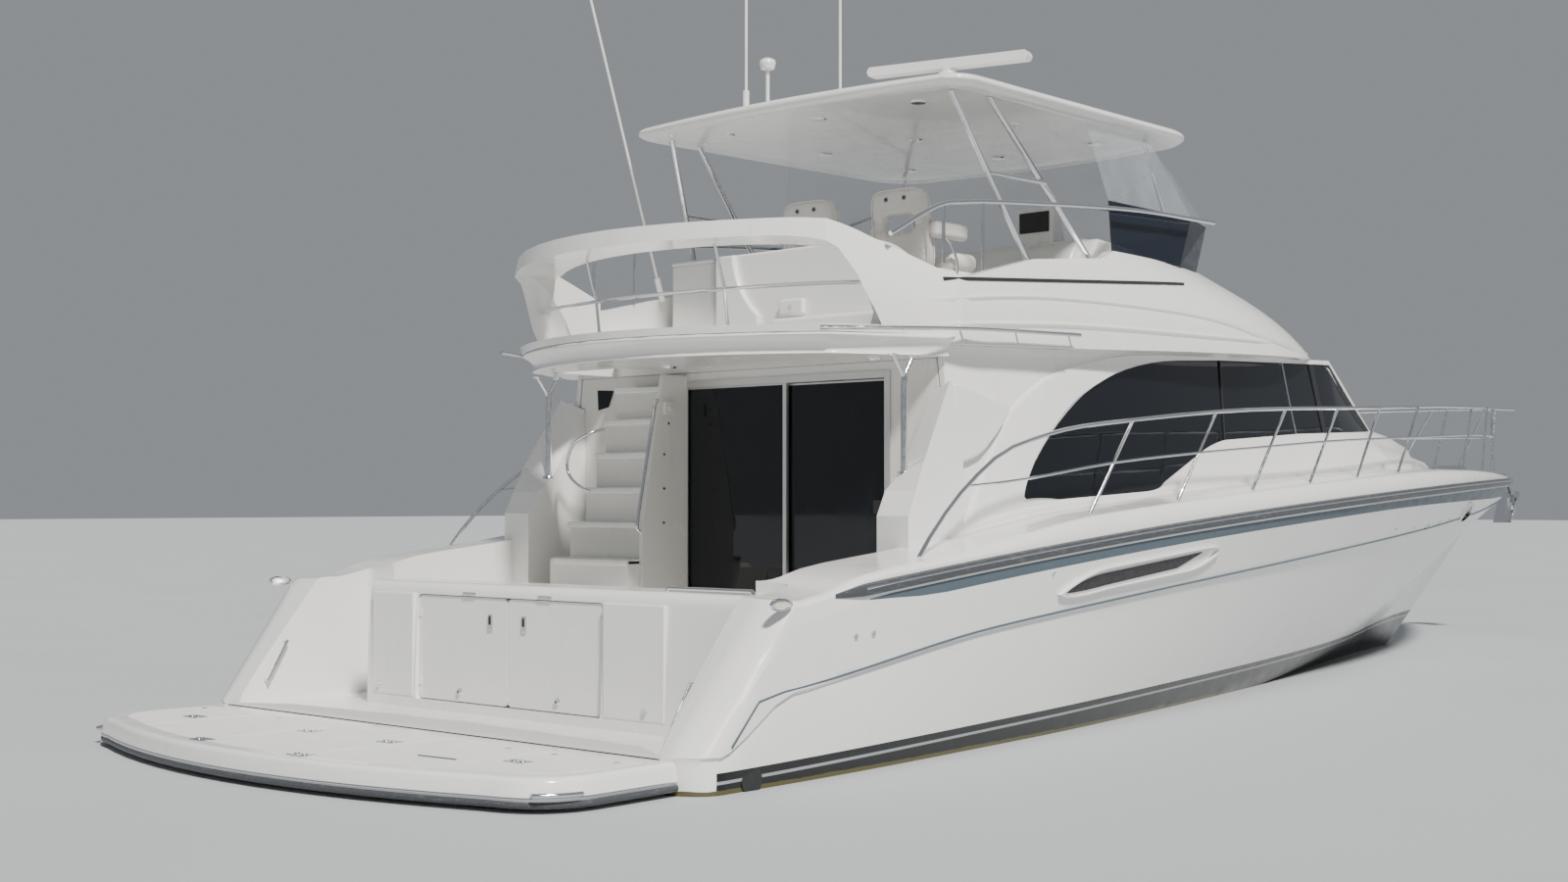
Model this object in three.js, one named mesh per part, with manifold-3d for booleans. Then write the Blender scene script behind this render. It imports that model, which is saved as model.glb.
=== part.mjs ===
// Flybridge motor yacht, about 17 m long, afloat.
// Millimetres. X runs forward from the transom, Y to port, Z up from the waterline.
import * as THREE from 'three';
import { mergeVertices } from 'three/addons/utils/BufferGeometryUtils.js';
import Module from 'manifold-3d';

const wasm = await Module();
wasm.setup();

// Driving dimensions
const GAP = 0.3;
const BOW_X = 15700;
const HALF_BEAM = 2420;
const PARALLEL_X = 4800;
const SHEER_POWER = 2.5;
const STERN_X = -190;
const SILL_Z = 200;
const RECESS_HALF = 2050;
const WALL_AFT_X = 480;
const WALL_FORE_X = 900;
const WALL_TOP_Z = 1030;
const COCKPIT_SOLE_Z = 500;
const COCKPIT_HALF = 1880;
const BULKHEAD_X = 2650;
const BULKHEAD_T = 80;
const SALOON_SOLE_Z = 560;
const SOLE_T = 40;
const SOFFIT_Z = 2500;
const FLY_SOLE_Z = 2640;
const HARDTOP_Z = 4400;
const SHELL_T = 45;
const GLASS_T = 12;
const RAIL_R = 14;

const COLOURS = {
  gelcoat: [0xf2f2ee, 0.25, 0.0],
  steel: [0xc9ccd0, 0.2, 1.0],
  bronze: [0x9a7a45, 0.4, 0.9],
  glass: [0x10161c, 0.08, 0.0],
  tint: [0x2a2f38, 0.1, 0.0],
  clear: [0xbfc8d0, 0.1, 0.0],
  vinyl: [0xe6e4de, 0.6, 0.0],
  grey: [0x6d7278, 0.5, 0.1],
  black: [0x1b1c1e, 0.5, 0.0],
  iron: [0x5a5e63, 0.7, 0.4],
  wood: [0x6b4a2f, 0.5, 0.0],
};

const group = new THREE.Group();

// Solids and meshes

function toSolid(geometry) {
  const bare = geometry.index ? geometry.toNonIndexed() : geometry.clone();
  bare.deleteAttribute('normal');
  bare.deleteAttribute('uv');
  const merged = mergeVertices(bare, 1e-3);
  const position = merged.attributes.position;
  const index = merged.index;
  let volume = 0;
  const a = new THREE.Vector3();
  const b = new THREE.Vector3();
  const c = new THREE.Vector3();
  const faces = [];
  for (let i = 0; i < index.count; i += 3) {
    const tri = [index.getX(i), index.getX(i + 1), index.getX(i + 2)];
    if (tri[0] === tri[1] || tri[1] === tri[2] || tri[0] === tri[2]) continue;
    a.fromBufferAttribute(position, tri[0]);
    b.fromBufferAttribute(position, tri[1]);
    c.fromBufferAttribute(position, tri[2]);
    volume += a.dot(b.cross(c));
    faces.push(tri);
  }
  const order = volume < 0 ? [0, 2, 1] : [0, 1, 2];
  const triVerts = new Uint32Array(faces.flatMap((tri) => order.map((k) => tri[k])));
  const vertProperties = new Float32Array(position.array);
  return new wasm.Manifold(new wasm.Mesh({ numProp: 3, vertProperties, triVerts }));
}

function toGeometry(solid) {
  const mesh = solid.getMesh();
  const geometry = new THREE.BufferGeometry();
  const points = new Float32Array(mesh.vertProperties);
  geometry.setAttribute('position', new THREE.BufferAttribute(points, 3));
  geometry.setIndex(new THREE.BufferAttribute(new Uint32Array(mesh.triVerts), 1));
  return geometry;
}

function moved(solid, x, y, z) {
  return toSolid(toGeometry(solid).translate(x, y, z));
}

function mirrored(solid) {
  return toSolid(toGeometry(solid).scale(1, -1, 1));
}

function join(...solids) {
  return solids.reduce((sum, solid) => sum.add(solid));
}

// Both sides of the boat in one solid, from its starboard half or piece
function bothSides(solid) {
  return solid.add(mirrored(solid));
}

// The starboard half and its exact mirror image, so that pieces made in pairs fit both sides
function evened(solid) {
  const half = solid.intersect(box(-4000, 20000, -4000, 0, -3000, 8000));
  return half.add(mirrored(half));
}

// Cuts a piece back from its neighbour, with the gap along each direction given
function seat(piece, neighbour, ...directions) {
  let result = piece.subtract(neighbour);
  for (const [x, y, z] of directions) {
    result = result.subtract(moved(neighbour, x * GAP, y * GAP, z * GAP));
  }
  return result;
}

const UP = [0, 0, 1];
const DOWN = [0, 0, -1];
const FORE = [1, 0, 0];
const AFT = [-1, 0, 0];
const PORT = [0, 1, 0];
const STBD = [0, -1, 0];

function add(name, solid, colour) {
  const [hex, roughness, metalness] = COLOURS[colour];
  const material = new THREE.MeshStandardMaterial({ color: hex, roughness, metalness });
  const mesh = new THREE.Mesh(toGeometry(solid), material);
  mesh.name = name;
  group.add(mesh);
  return solid;
}

// A starboard piece and its mirror image, each in its own node
function addPair(name, solid, colour) {
  add(`${name}_stbd`, solid, colour);
  add(`${name}_port`, mirrored(solid), colour);
  return solid;
}

// Basic shapes

function box(x0, x1, y0, y1, z0, z1) {
  const geometry = new THREE.BoxGeometry(x1 - x0, y1 - y0, z1 - z0);
  return toSolid(geometry.translate((x0 + x1) / 2, (y0 + y1) / 2, (z0 + z1) / 2));
}

function shapeOf(points) {
  return new THREE.Shape(points.map(([u, v]) => new THREE.Vector2(u, v)));
}

function extrude(shape, depth, steps = 6) {
  return new THREE.ExtrudeGeometry(shape, { depth, bevelEnabled: false, curveSegments: steps });
}

// An outline in plan, from one height to another
function planPrism(shape, z0, z1, steps) {
  return toSolid(extrude(shape, z1 - z0, steps).translate(0, 0, z0));
}

// An outline in side view (x, z), from one y to another
function sidePrism(shape, y0, y1, steps) {
  const geometry = extrude(shape, y1 - y0, steps);
  geometry.rotateX(Math.PI / 2);
  return toSolid(geometry.translate(0, y1, 0));
}

// An outline seen from aft (y, z), from one x to another
function frontPrism(shape, x0, x1, steps) {
  const geometry = extrude(shape, x1 - x0, steps);
  geometry.rotateX(Math.PI / 2);
  geometry.rotateZ(Math.PI / 2);
  return toSolid(geometry.translate(x0, 0, 0));
}

function rod(from, to, radius, sides = 10) {
  const start = new THREE.Vector3(...from);
  const span = new THREE.Vector3(...to).sub(start);
  const length = span.length();
  const geometry = new THREE.CylinderGeometry(radius, radius, length, sides);
  geometry.translate(0, length / 2, 0);
  const turn = new THREE.Quaternion().setFromUnitVectors(
    new THREE.Vector3(0, 1, 0), span.normalize());
  geometry.applyQuaternion(turn);
  return toSolid(geometry.translate(...from));
}

// A tube through points, bent smoothly
function tube(points, radius, steps, sides = 8) {
  const path = new THREE.CatmullRomCurve3(points.map((p) => new THREE.Vector3(...p)));
  const circle = new THREE.Shape();
  circle.absarc(0, 0, radius, 0, Math.PI * 2);
  const geometry = new THREE.ExtrudeGeometry(circle, {
    steps, extrudePath: path, curveSegments: sides / 2, bevelEnabled: false });
  return toSolid(geometry);
}

// A ring-by-ring skin: each ring is a closed list of [x, y, z], all of one length
function loft(rings) {
  const count = rings[0].length;
  const points = rings.flat(2);
  const index = [];
  for (let r = 0; r + 1 < rings.length; r += 1) {
    for (let i = 0; i < count; i += 1) {
      const j = (i + 1) % count;
      const near = r * count;
      const far = near + count;
      index.push(near + i, near + j, far + j, near + i, far + j, far + i);
    }
  }
  for (const [r, flip] of [[0, true], [rings.length - 1, false]]) {
    const cap = capOf(rings[r]);
    for (const [p, q, s] of cap) {
      const tri = flip ? [p, s, q] : [p, q, s];
      index.push(...tri.map((k) => r * count + k));
    }
  }
  const geometry = new THREE.BufferGeometry();
  geometry.setAttribute('position', new THREE.Float32BufferAttribute(points, 3));
  geometry.setIndex(index);
  return toSolid(geometry);
}

// Triangles over a flat ring, wound as the ring runs
function capOf(ring) {
  const normal = new THREE.Vector3();
  const at = (i) => new THREE.Vector3(...ring[i % ring.length]);
  for (let i = 0; i < ring.length; i += 1) {
    normal.add(at(i).cross(at(i + 1)));
  }
  const size = [Math.abs(normal.x), Math.abs(normal.y), Math.abs(normal.z)];
  const drop = size.indexOf(Math.max(...size));
  const keep = [0, 1, 2].filter((k) => k !== drop);
  const flat = ring.map((p) => new THREE.Vector2(p[keep[0]], p[keep[1]]));
  const faces = THREE.ShapeUtils.triangulateShape(flat, []);
  const [p, q, s] = faces[0];
  const turn = at(q).sub(at(p)).cross(at(s).sub(at(p))).dot(normal);
  return turn > 0 ? faces : faces.map(([i, j, k]) => [i, k, j]);
}

// Hull

function sheerHalf(x) {
  const t = Math.max(0, (x - PARALLEL_X) / (BOW_X - PARALLEL_X));
  return Math.max(30, HALF_BEAM * (1 - t ** SHEER_POWER));
}

function rubZ(x) {
  return 1780 - 854 * (1 - Math.max(0, x) / BOW_X) ** 2.2;
}

function smooth(x, from, to) {
  const t = Math.min(1, Math.max(0, (x - from) / (to - from)));
  return t * t * (3 - 2 * t);
}

function deckZ(x) {
  return rubZ(x) + 90 + 85 * smooth(x, 1900, 3600) - 150 * smooth(x, 8500, BOW_X);
}

function knuckleZ(x) {
  return 210 + 350 * smooth(x, -200, 1200) + 118 * Math.max(0, x / 1000) ** 0.84 * smooth(x, 0, 3000);
}

// x, keel z, chine half-breadth, chine z, half-breadth at the waterline
const HULL_STATIONS = [
  [STERN_X, -780, 2330, -130, 2375],
  [450, -790, 2320, -130, 2350],
  [1300, -800, 2260, -125, 2275],
  [2650, -820, 2110, -110, 2140],
  [3700, -840, 1980, -95, 2010],
  [5000, -860, 1770, -70, 1800],
  [6400, -870, 1530, -40, 1560],
  [7800, -850, 1290, 20, 1290],
  [9200, -780, 1060, 150, 1050],
  [10600, -620, 800, 330, 720],
  [11800, -340, 560, 560, 400],
  [12700, -10, 380, 800, 60],
  [13700, 576, 200, 1120, 0],
  [14700, 1183, 90, 1450, 0],
  [15400, 1608, 40, 1690, 0],
  [BOW_X, 1745, 20, 1765, 0],
];
const KNUCKLE_STEP = 22;

function hullRing([x, keelZ, chineHalf, chineZ, waterHalf]) {
  const b = sheerHalf(x);
  const rz = rubZ(x);
  const low = Math.max(keelZ + 12, Math.min(knuckleZ(x), rz - 120));
  const fromWater = Math.max(0, low / (rz - 60));
  const knuckleHalf = waterHalf > 0
    ? waterHalf + (b - waterHalf) * Math.min(1, fromWater) ** 0.85 - KNUCKLE_STEP
    : chineHalf + (b - chineHalf) * Math.max(0, (low - chineZ) / (rz - 60 - chineZ)) ** 0.85;
  const above = low > chineZ;
  const k = above ? knuckleHalf : chineHalf * 0.98;
  const kz = above ? low : chineZ + 8;
  const step = Math.min(KNUCKLE_STEP, (b - k) / 2);
  const half = [
    [0, keelZ],
    [chineHalf * 0.5, keelZ + (chineZ - keelZ) * 0.56],
    [chineHalf, chineZ],
    [k, kz],
    [k + step, kz + step],
    [b, Math.max(rz - 50, kz + step + 4)],
    [b, rz + 50],
    [b - Math.min(70, b / 3), deckZ(x)],
  ];
  const top = [0, deckZ(x) + 0.025 * b];
  const stbd = half.slice(1).map(([y, z]) => [x, -y, z]);
  const port = half.slice(1).map(([y, z]) => [x, y, z]).reverse();
  return [[x, 0, keelZ], ...stbd, [x, 0, top[1]], ...port];
}

// Saloon well and cockpit well in plan
const SALOON_AFT_X = BULKHEAD_X + BULKHEAD_T + GAP;
const SALOON_FORE_X = 9000;
const ENGINE_BAY = { x0: 3400, x1: 5800, floorHalf: 1000, half: 1250, z0: -250, sideZ: -120 };

function hullSolid() {
  const raked = shapeOf([
    [STERN_X - 600, SILL_Z], [STERN_X, SILL_Z], [500, 1060], [560, 1500], [STERN_X - 600, 1500]]);
  let hull = evened(loft(HULL_STATIONS.map(hullRing)));
  hull = hull.subtract(sidePrism(raked, -3000, 3000));
  hull = hull.subtract(box(STERN_X - 600, WALL_FORE_X, -RECESS_HALF, RECESS_HALF, SILL_Z, 2000));
  hull = hull.subtract(box(WALL_FORE_X - 1, SALOON_AFT_X, -COCKPIT_HALF, COCKPIT_HALF,
    COCKPIT_SOLE_Z, 2000));
  hull = hull.subtract(planPrism(saloonShape(0), SALOON_SOLE_Z - SOLE_T, 2400));
  const { x0, x1, floorHalf, half, z0, sideZ } = ENGINE_BAY;
  const bay = shapeOf([[-half, SALOON_SOLE_Z], [-half, sideZ], [-floorHalf, z0],
    [floorHalf, z0], [half, sideZ], [half, SALOON_SOLE_Z]]);
  return hull.subtract(frontPrism(bay, x0, x1));
}

function saloonShape(inset) {
  return shapeOf([
    [SALOON_AFT_X - 1 + inset, -1700 + inset], [5200, -1700 + inset], [7600, -1420 + inset],
    [SALOON_FORE_X - inset, -1000 + inset], [SALOON_FORE_X - inset, 1000 - inset],
    [7600, 1420 - inset], [5200, 1700 - inset], [SALOON_AFT_X - 1 + inset, 1700 - inset]]);
}

// A strip along the starboard side, outside the hull at the rubbing rail
function rubRail() {
  const rows = HULL_STATIONS.map(([x]) => x).filter((x) => x > 450 && x < BOW_X);
  const xs = [860, ...rows, BOW_X - 110];
  const rings = xs.map((x) => {
    const inner = sheerLine(x) + GAP;
    const z = rubLine(x);
    return [[x, -inner, z - 38], [x, -inner - 34, z - 22], [x, -inner - 34, z + 22],
      [x, -inner, z + 38]];
  });
  return loft(rings);
}

// The faceted hull's own lines between two stations
function alongStations(x, value) {
  const xs = HULL_STATIONS.map((row) => row[0]);
  const i = Math.max(1, xs.findIndex((s) => s >= x));
  const t = (x - xs[i - 1]) / (xs[i] - xs[i - 1]);
  return value(xs[i - 1]) * (1 - t) + value(xs[i]) * t;
}

function sheerLine(x) {
  return alongStations(x, sheerHalf);
}

function rubLine(x) {
  return alongStations(x, rubZ);
}

function deckLine(x) {
  return alongStations(x, deckZ);
}

// Stern: platform, transom wall with lockers, gate

const PLATFORM = { aftX: -1530, cornerX: -1150, half: 2270, z0: 20, z1: 185 };

function platformShape() {
  const { aftX, cornerX, half } = PLATFORM;
  const shape = new THREE.Shape();
  const fore = STERN_X - GAP;
  shape.moveTo(fore, -half + 30);
  shape.lineTo(cornerX + 350, -half);
  shape.quadraticCurveTo(cornerX, -half, cornerX - 60, -half + 380);
  shape.quadraticCurveTo(2 * aftX - cornerX + 60, 0, cornerX - 60, half - 380);
  shape.quadraticCurveTo(cornerX, half, cornerX + 350, half);
  shape.lineTo(fore, half - 30);
  return shape;
}

const LOCKER = { half: 910, z0: 260, z1: 950, foreX: 860, leafT: 28 };
const LOCKER_PIN = { x: 484, y: 905.3, r: 4.4 };

function transomWall(hull) {
  const gateSide = 1440;
  const profile = shapeOf([
    [WALL_AFT_X - 30, SILL_Z], [WALL_FORE_X, SILL_Z], [WALL_FORE_X, WALL_TOP_Z],
    [WALL_AFT_X + 60, WALL_TOP_Z], [WALL_AFT_X, WALL_TOP_Z - 40]]);
  let wall = sidePrism(profile, -RECESS_HALF - 10, gateSide);
  wall = seat(wall, hull, UP, PORT, AFT);
  return wall.subtract(
    box(WALL_AFT_X - 200, LOCKER.foreX - 40, -LOCKER.half, LOCKER.half, LOCKER.z0, LOCKER.z1));
}

function lockerDoor(side) {
  const clear = 5;
  const y0 = side > 0 ? clear / 2 : -LOCKER.half + clear;
  const y1 = side > 0 ? LOCKER.half - clear : -clear / 2;
  let door = box(WALL_AFT_X + 8, WALL_AFT_X + 8 + LOCKER.leafT, y0, y1,
    LOCKER.z0 + clear, LOCKER.z1 - clear);
  const { x, y, r } = LOCKER_PIN;
  for (const z of [LOCKER.z0 + 120, LOCKER.z1 - 120]) {
    const strap = side > 0 ? [y - 30, y - 1] : [1 - y, 30 - y];
    door = door.add(box(x - 3, x + 12, ...strap, z - 30, z + 30));
    door = door.add(rod([x, side * y, z - 30], [x, side * y, z + 30], r, 16));
  }
  return door;
}

const GATE = { x0: 880, x1: 915, y0: 1450, y1: 1868, z0: 520, z1: 1010 };
const GATE_PIN = { x: 921.5, y: 1873, r: 6.5 };

function transomGate() {
  let gate = box(GATE.x0, GATE.x1, GATE.y0, GATE.y1, GATE.z0, GATE.z1);
  for (const z of [600, 900]) {
    const { x, y, r } = GATE_PIN;
    gate = gate.add(box(GATE.x1 - 5, x, GATE.y1 - 40, y - 1, z - 30, z + 30));
    gate = gate.add(rod([x, y, z - 30], [x, y, z + 30], r, 16));
  }
  return gate;
}

// Stairs from the cockpit to the flybridge, on the port side: z top, aft x, port y, lip overhang
const STAIR_TREADS = [
  [640, 1780, 1560, 0],
  [893, 1920, 1520, 0],
  [1146, 2060, 1470, 0],
  [1408, 2238, 1500, 110],
  [1662, 2281, 1370, 110],
  [1918, 2325, 1310, 110],
  [2162, 2370, 1260, 110],
  [2400, 2420, 1190, 110],
];
const TREAD_T = 42;
const STRINGER = { y0: 575, y1: 615, footX: 2195, topZ: 2480 };

function stairs(hull) {
  const foreX = BULKHEAD_X - GAP;
  const footZ = COCKPIT_SOLE_Z + GAP;
  const cheek = shapeOf([
    [STRINGER.footX, footZ], [STRINGER.footX, 1400], [2360, 2290], [2400, STRINGER.topZ],
    [foreX, STRINGER.topZ], [foreX, footZ]]);
  let block = sidePrism(cheek, STRINGER.y0, STRINGER.y1);
  const startY = STRINGER.y1 - 5;
  for (const [z, x, y1, lip] of STAIR_TREADS) {
    block = block.add(box(x + lip, foreX, startY, y1, footZ, z));
    block = block.add(box(x, x + lip + 5, startY, y1, z - TREAD_T, z));
  }
  return seat(block.add(stairRail()), hull, UP);
}

// Deckhouse

function houseHalf(x, z) {
  const run = Math.max(0, (x - 2650) / 6650);
  const tumble = 0.12 * (z - 1200);
  return 1950 - 330 * run ** 1.8 - tumble;
}

// The line where the deckhouse ends and the flybridge moulding begins: x, z
const LIP_LINE = [
  [2400, 2575], [4300, 2640], [5500, 2690], [7500, 2760], [8770, 2815], [9600, 2850]];

// Deckhouse and trunk cabin sections: x, top half-breadth (0 where it follows the side), top z
const HOUSE_STATIONS = [
  [BULKHEAD_X, 0, 2583],
  [4000, 0, 2628],
  [5400, 0, 2685],
  [6800, 0, 2735],
  [7800, 0, 2770],
  [8550, 0, 2800],
  [9620, 1340, 2235],
  [10500, 1130, 2190],
  [11400, 860, 2120],
  [12200, 560, 2000],
  [12800, 300, 1850],
];
const ROOF_FORE_X = 8550;

function footHalf(x) {
  return x < 9300 ? houseHalf(x, 1500) : houseHalf(9300, 1500) * (1 - ((x - 9300) / 4200) ** 1.6);
}

function houseRing([x, topHalf, topZ], inset, lift) {
  const deck = deckLine(x);
  const foot = footHalf(x) - inset;
  const high = (topHalf || houseHalf(x, topZ)) - inset;
  const z1 = topZ + lift;
  const half = [
    [foot + 35, deck - 150],
    [foot + 35, deck + 50],
    [foot - 5, deck + 95],
    [high + (topHalf ? 50 : 0), z1 - 60],
    [high - (topHalf ? 60 : 0), z1],
  ];
  const stbd = half.map(([y, z]) => [x, -y, z]);
  const port = half.map(([y, z]) => [x, y, z]).reverse();
  return [...stbd, [x, 0, z1 + (topHalf ? 40 : 0)], ...port];
}

function deckhouse(hull) {
  const outer = evened(loft(HOUSE_STATIONS.map((row) => houseRing(row, 0, 0))));
  const within = HOUSE_STATIONS.filter(([x]) => x < 11000);
  const inner = loft(within.map(([x, half, z], i) => {
    const shift = i === 0 ? -80 : 0;
    const open = x < ROOF_FORE_X;
    return houseRing([x + shift, half, z], SHELL_T, open ? 60 : -SHELL_T - 20);
  }));
  let shell = outer.subtract(inner).subtract(windscreenCut(0));
  for (const side of [1, -1]) {
    const y0 = side > 0 ? 1000 : -2400;
    shell = shell.subtract(sidePrism(sideWindow(0), y0, y0 + 1400, 5));
  }
  const { x0, x1, half, wall, z1 } = HATCH;
  shell = shell.add(box(x0 - wall, x1 + wall, -half - wall, half + wall, 2190, z1));
  shell = shell.subtract(box(x0, x1, -half, half, 2000, z1 + 10));
  return seat(shell, hull, UP);
}

// Hatch on the trunk cabin: a coaming on the deckhouse and a lid hinged at its fore edge
const HATCH = { x0: 9900, x1: 10420, half: 260, wall: 28, z1: 2290, lidT: 24 };

function hatchLid() {
  const { x0, x1, half, wall, z1, lidT } = HATCH;
  return box(x0 - wall, x1 + wall, -half - wall, half + wall, z1 + GAP, z1 + GAP + lidT);
}

function belowLip(offset) {
  const [first, last] = [LIP_LINE[0], LIP_LINE[LIP_LINE.length - 1]];
  const line = LIP_LINE.map(([x, z]) => [x, z + offset]);
  return sidePrism(shapeOf([[first[0], 1500], [last[0], 1500], ...line.reverse()]), -2400, 2400);
}

// Side window in side view, with its arched aft end
function sideWindow(grow) {
  const g = grow;
  const shape = new THREE.Shape();
  shape.moveTo(3380 - g, 1640);
  shape.bezierCurveTo(3900 - g, 2200 + g, 4500, 2570 + g, 5734, 2647 + g);
  shape.lineTo(6432, 2685 + g);
  shape.lineTo(8460, 2760 + g);
  shape.lineTo(9400 + 4 * g, 2195 - g);
  shape.lineTo(7670, 2128 - g);
  shape.lineTo(6307, 2043 - g);
  shape.quadraticCurveTo(6060, 2005 - g, 5858, 1925 - g);
  shape.lineTo(5230, 1690 - g);
  shape.quadraticCurveTo(5110, 1640 - g, 4900, 1630 - g);
  shape.lineTo(3520, 1558 - g);
  shape.quadraticCurveTo(3390 - g, 1552 - g, 3380 - g, 1640);
  return shape;
}

// The windscreen's opening, cut straight down through the sloping front
function windscreenCut(grow) {
  const shape = new THREE.Shape();
  shape.moveTo(8700 - grow, -1180 - grow);
  shape.lineTo(9480 + grow, -1120 - grow);
  shape.lineTo(9480 + grow, 1120 + grow);
  shape.lineTo(8700 - grow, 1180 + grow);
  return planPrism(shape, 2150, 3100, 2);
}

// Flybridge

// The plan outline: half-breadth w at the sides, aft centre and corner, front corner and centre
function flyOutline({ aft, corner, cornerHalf, side, wide, frontSide, frontHalf, front }) {
  const shape = new THREE.Shape();
  shape.moveTo(corner, -cornerHalf);
  shape.quadraticCurveTo(side - 250, -wide + 60, side, -wide);
  shape.lineTo(frontSide - 2600, -wide);
  shape.quadraticCurveTo(frontSide - 800, -wide, frontSide, -frontHalf);
  shape.quadraticCurveTo(front + 120, -frontHalf * 0.55, front, 0);
  shape.quadraticCurveTo(front + 120, frontHalf * 0.55, frontSide, frontHalf);
  shape.quadraticCurveTo(frontSide - 800, wide, frontSide - 2600, wide);
  shape.lineTo(side, wide);
  shape.quadraticCurveTo(side - 250, wide - 60, corner, cornerHalf);
  shape.quadraticCurveTo(2 * aft - corner, 0, corner, -cornerHalf);
  return shape;
}

// z, aft centre x, corner x, corner half, side x, half-breadth, front side x, front half, front x
const FLY_LEVELS = [
  [2640, 1330, 1850, 1500, 2750, 1900, 8500, 1440, 9080],
  [2900, 1290, 1790, 1540, 2750, 1880, 8250, 1380, 8800],
  [3160, 1290, 1790, 1530, 2750, 1800, 7700, 1320, 8200],
  [3420, 1320, 1830, 1500, 2750, 1690, 6800, 1250, 7250],
];

function flyRing(row, inset) {
  const [z, aft, corner, cornerHalf, side, wide, frontSide, frontHalf, front] = row;
  const shape = flyOutline({
    aft: aft + inset, corner: corner + inset, cornerHalf: cornerHalf - inset,
    side: side + inset, wide: wide - inset, frontSide: frontSide - inset,
    frontHalf: frontHalf - inset, front: front - inset });
  return shape.getPoints(5).slice(0, -1).map((p) => [p.x, p.y, z]);
}

// How far the moulding's hollow keeps inside its skin, level by level
const FLY_WALLS = [260, 130, 90, 90];
const FLY_WELL_FORE_X = 6500;
const STAIR_HATCH = { x0: 1950, x1: 2600, y0: 560, y1: 1290 };

function flyDeck(house) {
  const [, aft, corner, cornerHalf, side, wide] = FLY_LEVELS[0];
  const foreX = 8200;
  const inHouse = (x) => houseHalf(x, FLY_SOLE_Z) - SHELL_T - 4;
  const shape = new THREE.Shape();
  const joinX = 2750;
  shape.moveTo(corner, -cornerHalf);
  shape.quadraticCurveTo(side - 250, -wide + 60, side - 110, -wide);
  shape.lineTo(side - 110, -inHouse(joinX));
  shape.lineTo(5400, -inHouse(5400));
  shape.lineTo(foreX, -inHouse(foreX));
  shape.lineTo(foreX, inHouse(foreX));
  shape.lineTo(5400, inHouse(5400));
  shape.lineTo(side - 110, inHouse(joinX));
  shape.lineTo(side - 110, wide);
  shape.quadraticCurveTo(side - 250, wide - 60, corner, cornerHalf);
  shape.quadraticCurveTo(2 * aft - corner, 0, corner, -cornerHalf);
  const slab = planPrism(shape, SOFFIT_Z, FLY_SOLE_Z, 5);
  const { x0, x1, y0, y1 } = STAIR_HATCH;
  const open = slab.subtract(box(x0, x1, y0, y1, SOFFIT_Z - 10, FLY_SOLE_Z + 10));
  const pedestals = SEAT_YS.map(seatPedestal);
  return join(seat(open, house, UP), ...pedestals);
}

// Where each wing of the aft band ends: z, outer x, outer half, inner x, inner half
const WING_ENDS = [
  [2690, 2190, 1730, 2360, 1520],
  [2800, 2140, 1710, 2310, 1510],
  [2900, 2090, 1690, 2260, 1490],
  [3000, 2030, 1680, 2200, 1460],
  [3100, 1930, 1660, 2150, 1430],
  [3180, 1870, 1630, 2110, 1390],
  [3225, 1780, 1580, 2020, 1300],
  [3250, 1600, 1450, 1800, 1100],
];
const WING_FORE_X = 2600;
const WING_INNER_HALF = 1480;
const BAND_LOW_Z = 3215;

// The space under the aft band, between the wings and out past both sides
function bandOpening() {
  const aftX = 800;
  const reach = 2200;
  return loft(WING_ENDS.map(([z, outerX, outerHalf, innerX, innerHalf]) => {
    const slope = (innerX - outerX) / (outerHalf - innerHalf);
    const tipX = outerX - (reach - outerHalf) * slope;
    return [[aftX, -reach, z], [tipX, -reach, z], [innerX, -innerHalf, z],
      [innerX, innerHalf, z], [tipX, reach, z], [aftX, reach, z]];
  }));
}

// The space the crew stand in: narrow between the wings, and behind the band at its top
function wellSpace() {
  const half = WING_INNER_HALF;
  const behindBand = new THREE.Shape();
  behindBand.moveTo(WING_FORE_X + 1, -half);
  behindBand.lineTo(2150, -half);
  behindBand.quadraticCurveTo(1190, 0, 2150, half);
  behindBand.lineTo(WING_FORE_X + 1, half);
  return box(WING_FORE_X, FLY_WELL_FORE_X, -2000, 2000, FLY_SOLE_Z, 3600)
    .add(box(0, WING_FORE_X + 1, -half, half, FLY_SOLE_Z, BAND_LOW_Z))
    .add(planPrism(behindBand, BAND_LOW_Z - 5, 3600, 5));
}

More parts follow.
